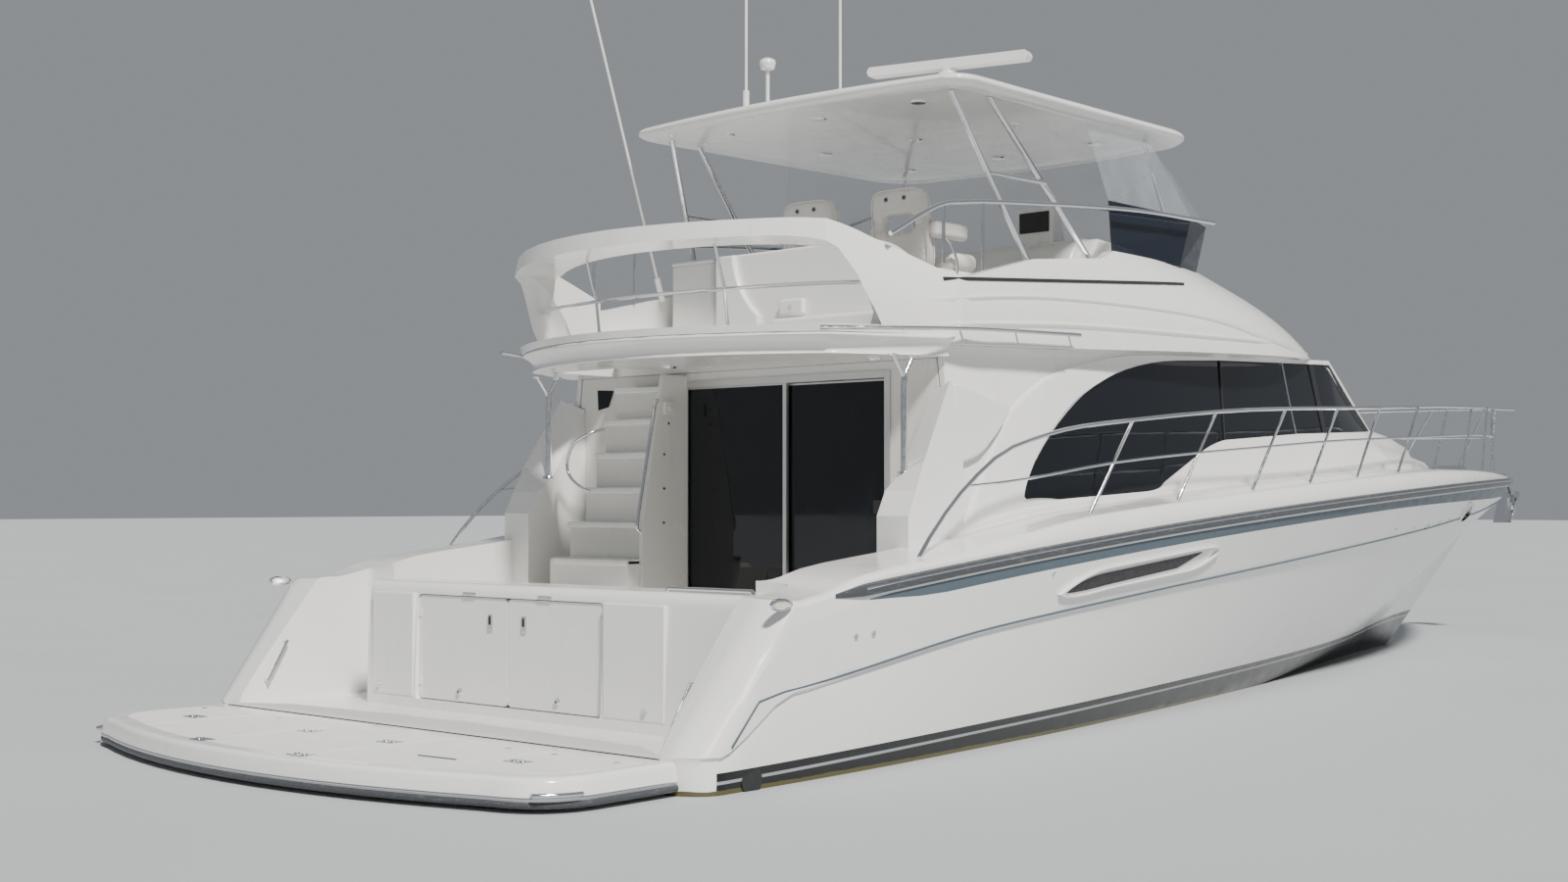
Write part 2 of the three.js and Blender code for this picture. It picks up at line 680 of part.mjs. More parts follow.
function flyMoulding(deck) {
  const levels = [[...FLY_LEVELS[0]], ...FLY_LEVELS];
  levels[0][0] = 2450;
  const walls = [FLY_WALLS[0], ...FLY_WALLS];
  const outer = loft(levels.map((row) => flyRing(row, 0)));
  const top = levels.length - 1;
  const within = levels.map((row, i) => flyRing([row[0] + (i === top ? 10 : 0), ...row.slice(1)],
    walls[i]));
  let shell = outer.subtract(loft(within).intersect(wellSpace()));
  const under = levels.map((row, i) => flyRing([row[0] - (i === 0 ? 10 : 60), ...row.slice(1)],
    walls[i]));
  const cowl = box(FLY_WELL_FORE_X + 60, 9500, -2000, 2000, 2300, 3600);
  shell = shell.subtract(loft(under).intersect(cowl));
  shell = shell.subtract(box(2700, 8200, -1600, 1600, 2300, 2640));
  const aboveRail = shapeOf([
    [1000, 3364], [1660, 3364], [1830, 3348], [1930, 3330], [2110, 3268], [2330, 3186],
    [2600, 3080], [2720, 3036], [2900, 3055], [3700, 3240], [4600, 3330], [4830, 3410],
    [5430, 3410], [6300, 3390], [7400, 3500], [1000, 3500]]);
  shell = shell.subtract(sidePrism(aboveRail, -2100, 2100));
  shell = shell.subtract(bandOpening());
  shell = shell.subtract(box(0, BULKHEAD_X - 10, -2100, 2100, 2300, FLY_SOLE_Z + GAP));
  shell = evened(shell.subtract(belowLip(GAP)));
  const { x0, x1, y0, y1 } = STAIR_HATCH;
  shell = shell.subtract(box(x0, x1, y0, y1, FLY_SOLE_Z - 10, 2900));
  return seat(shell, deck, UP, STBD, PORT, FORE, AFT);
}

// Hardtop

const HARDTOP = { aft: 2900, corner: 3030, half: 1490, sideAft: 3250, wide: 1640, front: 6350 };

function hardtopShape(inset) {
  const { aft, corner, half, sideAft, wide, front } = HARDTOP;
  const w = wide - inset;
  const shape = new THREE.Shape();
  shape.moveTo(corner + inset, -half + inset);
  shape.quadraticCurveTo(corner + 60, -w, sideAft + inset, -w);
  shape.lineTo(front - 500, -w + 60);
  shape.quadraticCurveTo(front - 60, -w + 80, front - inset, -w + 500);
  shape.quadraticCurveTo(front + 120, 0, front - inset, w - 500);
  shape.quadraticCurveTo(front - 60, w - 80, front - 500, w - 60);
  shape.lineTo(sideAft + inset, w);
  shape.quadraticCurveTo(corner + 60, w, corner + inset, half - inset);
  shape.quadraticCurveTo(aft - 60, 0, corner + inset, -half + inset);
  return shape;
}

function hardtop() {
  const levels = [[HARDTOP_Z, 60], [HARDTOP_Z + 45, 0], [HARDTOP_Z + 80, 20], [HARDTOP_Z + 130, 500]];
  const rings = levels.map(([z, inset]) =>
    hardtopShape(inset).getPoints(4).slice(0, -1).map((p) => [p.x, p.y, z]));
  return loft(rings).add(dome());
}

// A frame leg's foot and head: x, y, z of each, starboard side
const HARDTOP_LEGS = [
  [[3850, -1640, 3250], [3250, -1380, HARDTOP_Z]],
  [[4700, -1610, 3330], [3600, -1440, HARDTOP_Z]],
];

function hardtopFrame(moulding, top) {
  const tubes = HARDTOP_LEGS.map(([foot, head]) =>
    rod([foot[0], foot[1], foot[2] - 60], [head[0], head[1], head[2] + 40], 22));
  const brace = rod([3530, -1520, 3850], [4160, -1545, 3850], 16);
  const front = rod([6440, -1310, 3330], [5960, -1230, HARDTOP_Z + 40], 18);
  const rail = rod([4290, -1555, 3725], [5900, -1560, 3770], 14);
  const bend = rod([5890, -1563, 3770], [6238, -1276, 3780], 14);
  const diagonal = rod([4900, -1555, 3742], [6070, -1248, 4200], 12);
  const frame = join(...tubes, brace, front, rail, bend, diagonal);
  return seat(seat(frame, top, DOWN), moulding, UP, PORT);
}

// Bow rails: x of each stanchion's foot, how far its head lies ahead of that, then x and z of the
// bends of the top rail and of the middle one
const STANCHION_X = [3590, 4715, 5790, 6745, 7650, 8620, 9650, 10750, 11900, 13050, 14150, 14950];
const STANCHION_REACH = 575;
const TOP_RAIL = [
  [1765, 1185], [1930, 1370], [2118, 1540], [2302, 1675], [2644, 1868], [3081, 1985], [3455, 2050],
  [4139, 2120], [5340, 2221], [6410, 2280], [7455, 2321], [8610, 2371], [9965, 2433],
  [11240, 2477], [13400, 2570], [15000, 2640], [15700, 2660]];
const MIDDLE_RAIL = [
  [2275, 1655], [2520, 1672], [2878, 1702], [3888, 1821], [5024, 1911], [6055, 1976], [7200, 2046],
  [8205, 2090], [9280, 2132], [11225, 2206], [13400, 2262], [15000, 2305], [15380, 2312]];

function railHalf(x) {
  return Math.max(60, sheerLine(Math.min(x, BOW_X - 100)) - 150);
}

function heightAt(table, x) {
  const i = Math.max(1, table.findIndex((row) => row[0] >= x));
  const [[x0, z0], [x1, z1]] = [table[i - 1], table[i]];
  return z0 + ((z1 - z0) * (x - x0)) / (x1 - x0);
}

function bowRail(hull) {
  const along = (table) => table.map(([x, z]) => [x, -railHalf(x), z]);
  let rail = tube([...along(TOP_RAIL), [15950, -120, 2662]], RAIL_R, 72, 8);
  rail = rail.add(tube(along(MIDDLE_RAIL), RAIL_R * 0.7, 40, 6));
  for (const x of STANCHION_X) {
    const headX = x + STANCHION_REACH;
    const foot = [x, -railHalf(x), deckLine(x) - 40];
    const head = [headX, -railHalf(headX), heightAt(TOP_RAIL, headX)];
    rail = rail.add(rod(foot, head, RAIL_R * 0.8, 8));
  }
  return seat(rail, hull, UP);
}

// Underwater gear, starboard side

const SHAFT = { y: -780, innerX: 3300, innerZ: -640, propX: 520, propZ: -930, r: 28 };
const PROP = { r: 330, hub: 62, hubFore: 110, hubAft: 95, blades: 4 };
const TRIM_TAB = { y0: -1900, y1: -1200, z0: -232, z1: -404, chord: 300, thick: 14 };
const RUDDER = { x: 40, y: -780, z0: -1180, z1: -700, stockTop: -440, stockR: 26 };
const STOCK_SIDES = 24;

function shaftLine(x) {
  const t = (x - SHAFT.propX) / (SHAFT.innerX - SHAFT.propX);
  return SHAFT.propZ + (SHAFT.innerZ - SHAFT.propZ) * t;
}

function shaftAndStrut(hull) {
  const tailX = SHAFT.propX + PROP.hubFore - 0.3;
  const shaft = rod([tailX, SHAFT.y, shaftLine(tailX)],
    [SHAFT.innerX, SHAFT.y, SHAFT.innerZ], SHAFT.r, 12);
  const strutX = SHAFT.propX + 300;
  const z = shaftLine(strutX);
  const barrel = rod([strutX - 110, SHAFT.y, shaftLine(strutX - 110)],
    [strutX + 130, SHAFT.y, shaftLine(strutX + 130)], 58, 12);
  const arm = box(strutX - 60, strutX + 60, SHAFT.y - 16, SHAFT.y + 16, z, -350);
  return seat(join(shaft, barrel, arm), hull, DOWN);
}

function propeller(side) {
  const axisZ = shaftLine(SHAFT.propX);
  const slope = Math.atan2(SHAFT.innerZ - SHAFT.propZ, SHAFT.innerX - SHAFT.propX);
  const { hub, hubFore, hubAft } = PROP;
  const profile = [[0, -hubAft], [hub * 0.55, 10 - hubAft], [hub, 0], [hub, hubFore], [0, hubFore]];
  const hubGeometry = new THREE.LatheGeometry(profile.map(([r, h]) => new THREE.Vector2(r, h)), 16);
  hubGeometry.rotateZ(-Math.PI / 2);
  let prop = toSolid(hubGeometry);
  const blade = new THREE.Shape();
  blade.moveTo(0, -50);
  blade.quadraticCurveTo(PROP.r * 0.75, -150, PROP.r, -20);
  blade.quadraticCurveTo(PROP.r * 0.95, 120, PROP.r * 0.4, 115);
  blade.lineTo(0, 50);
  for (let i = 0; i < PROP.blades; i += 1) {
    const geometry = extrude(blade, 14, 4);
    geometry.translate(0, 0, -7);
    geometry.rotateZ(Math.PI / 2);
    geometry.rotateY(Math.PI / 2);
    geometry.rotateX(Math.PI / 2);
    geometry.rotateZ(side * 0.95);
    geometry.rotateX((i * 2 * Math.PI) / PROP.blades);
    prop = prop.add(toSolid(geometry));
  }
  const placed = toGeometry(prop);
  placed.rotateY(-slope);
  placed.translate(SHAFT.propX, SHAFT.y, axisZ);
  return toSolid(placed);
}

function rudder() {
  const { x, y, z0, z1 } = RUDDER;
  const blade = shapeOf([[x - 210, z0 + 30], [x + 130, z0], [x + 150, z1], [x - 190, z1]]);
  const section = sidePrism(blade, y - 16, y + 16);
  return section.add(rod([x, y, z1 - 20], [x, y, RUDDER.stockTop], RUDDER.stockR, STOCK_SIDES));
}

// Saloon: bulkhead, doors, windows, sole, engines and furniture

const DOOR = { y0: -1300, y1: 620, z0: 575, z1: 2390, frame: 55, overlap: 70, clear: 5 };

function bulkhead() {
  const shape = shapeOf([
    [-1870, COCKPIT_SOLE_Z + GAP], [1870, COCKPIT_SOLE_Z + GAP], [1870, 1330],
    [1856, 1400], [1734, SOFFIT_Z - GAP], [-1734, SOFFIT_Z - GAP], [-1856, 1400], [-1870, 1330]]);
  const panel = frontPrism(shape, BULKHEAD_X, BULKHEAD_X + BULKHEAD_T);
  return panel.subtract(box(BULKHEAD_X - 10, BULKHEAD_X + BULKHEAD_T + 10,
    DOOR.y0, DOOR.y1, DOOR.z0, DOOR.z1));
}

// A leaf: a frame with its thinner pane bonded in
function doorLeaf(x0, y0, y1, z0, z1) {
  const f = DOOR.frame;
  const x1 = x0 + 28;
  const inset = (a, b) => box(a, b, y0 + f, y1 - f, z0 + f, z1 - f);
  return box(x0, x1, y0, y1, z0, z1).subtract(inset(x0 - 5, x0 + 9)).subtract(inset(x0 + 19, x1 + 5));
}

function sideGlass() {
  const skin = (inset) => loft(HOUSE_STATIONS.map((row) => houseRing(row, inset, 0)));
  const pane = evened(skin(8)).subtract(evened(skin(8 + GLASS_T)));
  return pane.intersect(sidePrism(sideWindow(-1), -2400, -1000, 5));
}

function windscreenGlass() {
  const skin = (drop) => evened(loft(HOUSE_STATIONS.map((row) => houseRing(row, 0, -drop))));
  return skin(8).subtract(skin(8 + GLASS_T)).intersect(windscreenCut(-1));
}

function engine() {
  return box(3500, 5000, -950, -250, ENGINE_BAY.z0 + GAP, 460);
}

// The saloon's floor with its settee, galley counter, steering console and seat
function saloonFitout() {
  const floor = SALOON_SOLE_Z - 5;
  const sole = planPrism(saloonShape(1), SALOON_SOLE_Z - SOLE_T + GAP, SALOON_SOLE_Z);
  const settee = box(3500, 5500, 950, 1560, floor, 990).add(box(3500, 5500, 1380, 1560, 900, 1330));
  const counter = box(5700, 6900, 700, 1380, floor, 1480);
  const profile = shapeOf([
    [6900, floor], [7700, floor], [7900, 1500], [7600, 1560], [7150, 1420], [6980, 1250]]);
  const console = sidePrism(profile, -1240, -280);
  const seatBox = box(6000, 6500, -1050, -480, floor, 1150)
    .add(box(6000, 6120, -1050, -480, 1100, 1650));
  return join(sole, settee, counter, console, seatBox);
}

// Buttress between the cockpit coaming and the deckhouse, starboard side
const FIN = { outerY: -1965, innerY: -1700, foreX: BULKHEAD_X - 1 };
// x and z on the outer face, then x and z on the inner face
const FIN_EDGES = [
  [2065, COCKPIT_SOLE_Z, 2083, COCKPIT_SOLE_Z],
  [2074, 1469, 2083, 1468],
  [2150, 1625, 2167, 1629],
  [2245, 1817, 2316, 1740],
  [2575, 2342, 2636, 2262],
  [FIN.foreX, 2326, FIN.foreX, 2270],
  [FIN.foreX, COCKPIT_SOLE_Z, FIN.foreX, COCKPIT_SOLE_Z],
];
const POLE = { x: 2310, y: -1740, z: 1735, r: 24, sides: 14 };

function sideFin(hull) {
  const outer = FIN_EDGES.map(([x, z]) => [x, FIN.outerY, z]);
  const inner = FIN_EDGES.map(([, , x, z]) => [x, FIN.innerY, z]);
  const socket = rod([POLE.x, POLE.y, POLE.z], [POLE.x, POLE.y, SOFFIT_Z], POLE.r + 0.6, POLE.sides);
  return seat(loft([inner, outer]).subtract(socket), hull, UP, PORT);
}

function overhangPole() {
  return rod([POLE.x, POLE.y, POLE.z + GAP], [POLE.x, POLE.y, SOFFIT_Z - GAP], POLE.r, POLE.sides);
}

function stairRail() {
  const y = (STRINGER.y0 + STRINGER.y1) / 2;
  return tube([[2230, y, 1330], [2150, y, 1400], [2312, y, 2260], [2390, y, 2330]], 13, 20, 8);
}

// Flybridge furniture and rails

function consoleBody() {
  const profile = shapeOf([
    [5150, FLY_SOLE_Z + GAP], [6300, FLY_SOLE_Z + GAP], [6300, 3420], [6100, 3600], [5600, 3640],
    [5420, 3440], [5200, 3120]]);
  return sidePrism(profile, -1050, 420);
}

const WHEEL = { x: 5259, y: -480, z: 3315, r: 190, tube: 14, tilt: 0.602 };

function helmWheel() {
  const rim = new THREE.TorusGeometry(WHEEL.r, WHEEL.tube, 8, 28);
  let wheel = toSolid(rim);
  for (let i = 0; i < 3; i += 1) {
    const a = Math.PI / 2 + (i * 2 * Math.PI) / 3;
    wheel = wheel.add(rod([0, 0, 0], [WHEEL.r * Math.cos(a), WHEEL.r * Math.sin(a), 0], 10, 8));
  }
  wheel = wheel.add(rod([0, 0, -12], [0, 0, 61], 36, 14));
  const geometry = toGeometry(wheel);
  geometry.rotateY(Math.PI / 2);
  geometry.rotateY(WHEEL.tilt);
  geometry.translate(WHEEL.x, WHEEL.y, WHEEL.z);
  return toSolid(geometry);
}

const SEAT_YS = [-590, 290];
const SEAT_HALF = 310;

function seatPedestal(y) {
  const foot = rod([3980, y, FLY_SOLE_Z - 5], [3980, y, FLY_SOLE_Z + 30], 190, 20);
  const post = rod([3980, y, FLY_SOLE_Z + 20], [3980, y, 3120], 55, 14);
  return foot.add(post).add(box(3760, 4200, y - 200, y + 200, 3110, 3140));
}

function seatCushions(y) {
  const profile = shapeOf([
    [3760, 3140 + GAP], [4260, 3140 + GAP], [4300, 3200], [4260, 3270], [3880, 3270],
    [3740, 3860], [3620, 3840], [3700, 3240]]);
  return sidePrism(profile, y - SEAT_HALF, y + SEAT_HALF);
}

// Lounge across the starboard side: its back, the seat ahead of it and a step behind it
function flyLounge() {
  const z = FLY_SOLE_Z + GAP;
  const back = shapeOf([[-1440, z], [600, z], [600, 3390], [-860, 3400], [-1100, 3300],
    [-1250, 3200], [-1440, 3080]]);
  return frontPrism(back, 3000, 3125)
    .add(box(3120, 3500, -1440, 300, z, 3040))
    .add(box(2750, 3005, -1400, -150, z, 2860));
}

function portSettee() {
  return box(3700, 4700, 1000, 1520, FLY_SOLE_Z + GAP, 3020);
}

function wetBar() {
  return box(3500, 3690, 1166, 1630, FLY_SOLE_Z + GAP, 3470);
}

// The rail across the open aft end: x and y of its bends at one height, then its two leaning posts
const AFT_RAIL_Z = 2965;
// The lowest point of a leaning post's foot, just clear of the deck
const AFT_FOOT_Z = FLY_SOLE_Z + 2.6;
const AFT_RAIL_HALF = [[1740, 0], [1800, 650], [1950, 1300], [2120, 1600], [2210, 1650]];
const AFT_POST = { y: 630, footX: 1840, kneeX: 1797, headX: 1700, headZ: 3270 };

function flyAftRail(moulding) {
  const side = (sign) => AFT_RAIL_HALF.map(([x, y]) => [x, sign * y, AFT_RAIL_Z]);
  let rail = tube([...side(-1).reverse(), ...side(1).slice(1)], 13, 32, 8);
  const { y, footX, kneeX, headX, headZ } = AFT_POST;
  for (const postY of [-y, y]) {
    rail = rail.add(rod([footX, postY, AFT_FOOT_Z], [kneeX, postY, AFT_RAIL_Z], 11, 8));
    rail = rail.add(rod([kneeX, postY, AFT_RAIL_Z], [headX, postY, headZ], 11, 8));
  }
  return seat(rail, moulding, PORT, STBD, UP, DOWN, AFT);
}

function flySideRail(moulding) {
  const line = [[1700, -1560, 2650], [2150, -1830, 2660], [2700, -1965, 2680],
    [3300, -1975, 2700], [3960, -1975, 2715]];
  let rail = tube(line, 14, 16, 8);
  for (const [x, y, z] of [[2700, -1965, 2680], [3300, -1975, 2700], [3930, -1975, 2714]]) {
    rail = rail.add(rod([x, y, z], [x, -1850, z + 30], 10, 8));
  }
  return seat(rail, moulding, STBD);
}

// A thin upright sheet that follows a U in plan, leaning between two heights
function wrapSheet(lower, upper, thickness) {
  const ring = ({ points, z }) => {
    const outer = points.map(([x, y]) => [x, y, z]);
    const inner = points.map(([x, y]) => [x - thickness * (y === 0 ? 1 : 0.5),
      y - Math.sign(y) * thickness, z]).reverse();
    return [...outer, ...inner];
  };
  return loft([ring(lower), ring(upper)]);
}

const SCREEN_BASE = [[4900, -1635], [5900, -1600], [6500, -1380], [6820, -800], [6920, 0],
  [6820, 800], [6500, 1380], [5900, 1600], [4900, 1635]];
const SCREEN_TOP = [[4850, -1640], [6050, -1610], [6600, -1420], [6930, -820], [7030, 0],
  [6930, 820], [6600, 1420], [6050, 1610], [4850, 1640]];
const PANEL_TOP = [[4750, -1500], [5600, -1490], [6060, -1270], [6200, -700], [6240, 0],
  [6200, 700], [6060, 1270], [5600, 1490], [4750, 1500]];
const SCREEN_TOP_Z = 3790;

function windDeflector(moulding) {
  const sheet = wrapSheet({ points: SCREEN_BASE, z: 3398 }, { points: SCREEN_TOP, z: SCREEN_TOP_Z }, 10);
  return seat(sheet, moulding, UP);
}

function clearPanels() {
  return wrapSheet({ points: SCREEN_TOP, z: SCREEN_TOP_Z + GAP },
    { points: PANEL_TOP, z: HARDTOP_Z - GAP }, 8);
}

// Masthead gear
const RADAR = { x: 3990, y: -800, z: HARDTOP_Z + 130, topZ: 4740, half: 625 };

function radarPedestal() {
  const profile = [[0, 0], [150, 0], [150, 60], [95, 140], [70, 200], [0, 200]];
  const geometry = new THREE.LatheGeometry(profile.map(([r, h]) => new THREE.Vector2(r, h)), 20);
  geometry.rotateX(Math.PI / 2);
  return toSolid(geometry.translate(RADAR.x, RADAR.y, RADAR.z + GAP));
}

function radarScanner() {
  const shape = new THREE.Shape();
  shape.moveTo(-RADAR.half, -30);
  shape.lineTo(RADAR.half, -30);
  shape.quadraticCurveTo(RADAR.half + 40, 0, RADAR.half, 40);
  shape.lineTo(-RADAR.half, 40);
  shape.quadraticCurveTo(-RADAR.half - 40, 0, -RADAR.half, -30);
  const bar = extrude(shape, 110, 4);
  bar.rotateX(Math.PI / 2);
  bar.translate(0, 55, 0);
  bar.rotateZ(-1.33);
  bar.translate(RADAR.x, RADAR.y, RADAR.topZ + 45);
  const hub = rod([RADAR.x, RADAR.y, RADAR.z + 200.8], [RADAR.x, RADAR.y, RADAR.topZ + 30], 62, 16);
  return toSolid(bar).add(hub);
}

function dome() {
  return join(rod([3060, 160, HARDTOP_Z + 85], [3060, 160, 4760], 14, 10),
    rod([3060, 160, 4750], [3060, 160, 4830], 62, 16));
}

function whip(base, head, ferrule) {
  const [x0, y0, z0] = base;
  const [x1, y1, z1] = head;
  const t = ferrule / (z1 - z0);
  const collar = [x0 + (x1 - x0) * t, y0 + (y1 - y0) * t, z0 + ferrule];
  return join(rod(base, collar, 24, 10), rod(base, head, 11, 8));
}

// Bow gear

function anchorRoller(hull) {
  const plate = box(15050, 16020, -70, 70, 1815, 1845).add(box(15720, 16020, -70, 70, 1730, 1845));
  const slot = box(15760, 16100, -38, 38, 1700, 1900);
  const roller = rod([15930, -50, 1780], [15930, 50, 1780], 38, 16);
  return seat(plate.subtract(slot).add(roller), hull, UP, FORE);
}

function anchor() {
  const shank = shapeOf([[15200, 1845.4], [15900, 1845.4], [15985, 1790], [16090, 1650],
    [16120, 1672], [16010, 1830], [15920, 1888], [15200, 1888]]);
  const fluke = shapeOf([[16120, 1680], [16110, 1620], [15990, 1440], [15840, 1300], [15930, 1480]]);
  return sidePrism(shank, -14, 14).add(sidePrism(fluke, -110, 110));
}

function windlass(hull) {
  const base = box(14150, 14550, -120, 120, 1760, 1900);
  return seat(base.add(rod([14350, -190, 1900], [14350, 190, 1900], 70, 16)), hull, UP);
}

// A flap hinged at the foot of the transom, along the rise of the bottom
function trimTab() {
  const { y0, y1, z0, z1, chord, thick } = TRIM_TAB;
  const section = shapeOf([[y0, z0], [y1, z1], [y1, z1 + thick], [y0, z0 + thick]]);
  return frontPrism(section, STERN_X - chord, STERN_X - GAP);
}

// Build

const rudderHole = rod([RUDDER.x, RUDDER.y, RUDDER.z1 - 40],
  [RUDDER.x, RUDDER.y, RUDDER.stockTop + 5], RUDDER.stockR + 0.6, STOCK_SIDES);
const hull = add('hull', hullSolid().subtract(bothSides(rudderHole)), 'gelcoat');
addPair('rub_rail', rubRail(), 'grey');
add('swim_platform', planPrism(platformShape(), PLATFORM.z0, PLATFORM.z1, 6), 'gelcoat');
add('transom_wall', transomWall(hull), 'gelcoat');
add('locker_door_stbd', lockerDoor(-1), 'gelcoat');
add('locker_door_port', lockerDoor(1), 'gelcoat');
add('transom_gate', transomGate(), 'gelcoat');
add('cockpit_stairs', stairs(hull), 'gelcoat');
addPair('bow_rail', bowRail(hull), 'steel');

const house = add('deckhouse', deckhouse(hull), 'gelcoat');
add('hatch_lid', hatchLid(), 'tint');
add('aft_bulkhead', bulkhead(), 'gelcoat');
const doorMid = -360;
const fixedLeaf = doorLeaf(BULKHEAD_X + 6, doorMid - DOOR.overlap / 2, DOOR.y1 - GAP,
  DOOR.z0 + GAP, DOOR.z1 - GAP);
add('fixed_door_leaf', fixedLeaf, 'glass');
const slidingLeaf = doorLeaf(BULKHEAD_X + 42, DOOR.y0 + DOOR.clear, doorMid + DOOR.overlap / 2,
  DOOR.z0 + 0.5, DOOR.z1 - DOOR.clear);
add('sliding_door_leaf', slidingLeaf, 'glass');
addPair('side_window', sideGlass(), 'glass');
add('windscreen', windscreenGlass(), 'glass');
add('saloon_fitout', saloonFitout(), 'wood');
addPair('engine', engine(), 'iron');
addPair('side_fin', sideFin(hull), 'gelcoat');
addPair('overhang_pole', overhangPole(), 'steel');

const flyDeckSolid = add('flybridge_deck', flyDeck(house), 'gelcoat');
const moulding = add('flybridge_moulding', flyMoulding(flyDeckSolid), 'gelcoat');
const top = add('hardtop', hardtop(), 'gelcoat');
addPair('hardtop_frame', hardtopFrame(moulding, top), 'steel');
add('wind_deflector', windDeflector(moulding), 'tint');
add('clear_panels', clearPanels(), 'clear');
add('flybridge_console', consoleBody(), 'gelcoat');
add('helm_wheel', helmWheel(), 'black');
add('helm_seat', seatCushions(SEAT_YS[0]), 'vinyl');
add('companion_seat', seatCushions(SEAT_YS[1]), 'vinyl');
add('flybridge_lounge', flyLounge(), 'vinyl');
add('flybridge_settee', portSettee(), 'vinyl');
add('wet_bar', wetBar(), 'gelcoat');
add('flybridge_aft_rail', flyAftRail(moulding), 'steel');
addPair('flybridge_side_rail', flySideRail(moulding), 'steel');

add('radar_pedestal', radarPedestal(), 'gelcoat');
add('radar_scanner', radarScanner(), 'gelcoat');
add('antenna_port', seat(whip([3460, 1690, 3165], [2500, 1760, 6200], 180), moulding, UP), 'gelcoat');
add('antenna_aft', seat(whip([3060, 380, HARDTOP_Z + 60], [3060, 380, 6900], 160), top, UP), 'gelcoat');
add('antenna_centre', seat(whip([3600, -80, HARDTOP_Z + 90], [3600, -80, 6700], 160), top, UP), 'gelcoat');

add('anchor_roller', anchorRoller(hull), 'steel');
add('anchor', anchor(), 'steel');
add('windlass', windlass(hull), 'steel');
addPair('shaft', shaftAndStrut(hull), 'steel');
addPair('propeller', propeller(1), 'bronze');
addPair('rudder', rudder(), 'bronze');
addPair('trim_tab', trimTab(), 'steel');

export default group;
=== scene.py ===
"""Flybridge motor yacht afloat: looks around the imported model. Metres, X forward, Y to port, Z up."""

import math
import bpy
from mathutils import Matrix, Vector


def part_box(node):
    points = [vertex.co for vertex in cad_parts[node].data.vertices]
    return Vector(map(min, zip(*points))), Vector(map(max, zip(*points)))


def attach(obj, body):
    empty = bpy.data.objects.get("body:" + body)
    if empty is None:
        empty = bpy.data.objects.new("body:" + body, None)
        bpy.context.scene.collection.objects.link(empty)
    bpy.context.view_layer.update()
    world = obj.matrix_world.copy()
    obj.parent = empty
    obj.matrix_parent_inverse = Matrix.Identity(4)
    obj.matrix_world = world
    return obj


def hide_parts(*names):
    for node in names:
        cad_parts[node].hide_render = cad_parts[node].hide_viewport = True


bl_info = {
    "name": "Flybridge motor yacht",
    "version": (1, 0, 0),
    "blender": (4, 5, 0),
    "location": "View3D > Sidebar > Yacht",
    "description": "Builds a flybridge motor yacht piece by piece, with its finishes and a studio stage",
    "category": "Add Mesh",
}

import bmesh
import bpy
from bpy.props import FloatProperty, FloatVectorProperty, PointerProperty
from bpy.types import Operator, Panel, PropertyGroup
from mathutils import Matrix, Vector

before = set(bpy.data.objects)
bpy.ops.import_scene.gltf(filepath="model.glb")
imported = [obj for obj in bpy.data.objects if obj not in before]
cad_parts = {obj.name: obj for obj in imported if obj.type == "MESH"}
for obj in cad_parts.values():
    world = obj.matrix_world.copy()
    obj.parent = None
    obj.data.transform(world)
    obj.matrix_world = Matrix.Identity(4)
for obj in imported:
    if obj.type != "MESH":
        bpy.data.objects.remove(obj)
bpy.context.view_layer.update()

# Camera, as the photograph was taken
CAMERA_PLACE = (-7.502, -9.717, 1.5645)
CAMERA_YAW = math.radians(42.602)
CAMERA_PITCH = math.radians(1.735)
CAMERA_LENS = 45.24

# Driving sizes of the boat
BOW_X = 15.7
STERN_X = -0.19
WING_FOOT_X = -0.03
WING_HEIGHT = 0.86
GROWTH_Z = 0.035
BOTTOM_PAINT_Z = -0.03
HALF_BEAM = 2.42
PARALLEL_X = 4.8
SHEER_POWER = 2.5
SILL_Z = 0.2
RECESS_HALF = 2.05
WALL_X = 0.48
WALL_FORE_X = 0.9
WALL_TOP_Z = 1.03
COCKPIT_SOLE_Z = 0.5
COCKPIT_HALF = 1.88
BULKHEAD_X = 2.65
SALOON_SOLE_Z = 0.56
SOFFIT_Z = 2.5
FLY_SOLE_Z = 2.64
HARDTOP_Z = 4.4
SHELL = 0.045
SIDES = (("stbd", -1), ("port", 1))
CURVE_STEPS = 8
SHARP_ANGLE = math.radians(25)


def smooth(x, start, end):
    t = min(1.0, max(0.0, (x - start) / (end - start)))
    return t * t * (3 - 2 * t)


def mix(a, b, t):
    return a + (b - a) * t


def mirrored(side, near, far):
    """A range of half-breadths as a rising range of y on one side."""
    return sorted((side * near, side * far))


def along(table, x):
    """Each column of a table of stations, smoothly between its rows, by its first column."""
    last = len(table) - 1
    i = 0
    while i < last - 1 and table[i + 1][0] < x:
        i += 1
    p0, p1, p2, p3 = (table[min(last, max(0, i + k))] for k in (-1, 0, 1, 2))
    span = p2[0] - p1[0]
    t = min(1.0, max(0.0, (x - p1[0]) / span))
    values = []
    for a, b, c, d in list(zip(p0, p1, p2, p3))[1:]:
        before = (c - a) / (p2[0] - p0[0]) * span
        after = (d - b) / (p3[0] - p1[0]) * span
        values.append(
            b * (2 * t**3 - 3 * t**2 + 1) + c * (3 * t**2 - 2 * t**3)
            + before * (t**3 - 2 * t**2 + t) + after * (t**3 - t**2)
        )
    return values


# Meshes


def mesh_object(name, bm, *materials):
    """A new object from a bmesh, with its finishes."""
    mesh = bpy.data.meshes.new(name)
    bm.to_mesh(mesh)
    bm.free()
    obj = bpy.data.objects.new(name, mesh)
    bpy.context.scene.collection.objects.link(obj)
    for material in materials:
        mesh.materials.append(material)
    return obj


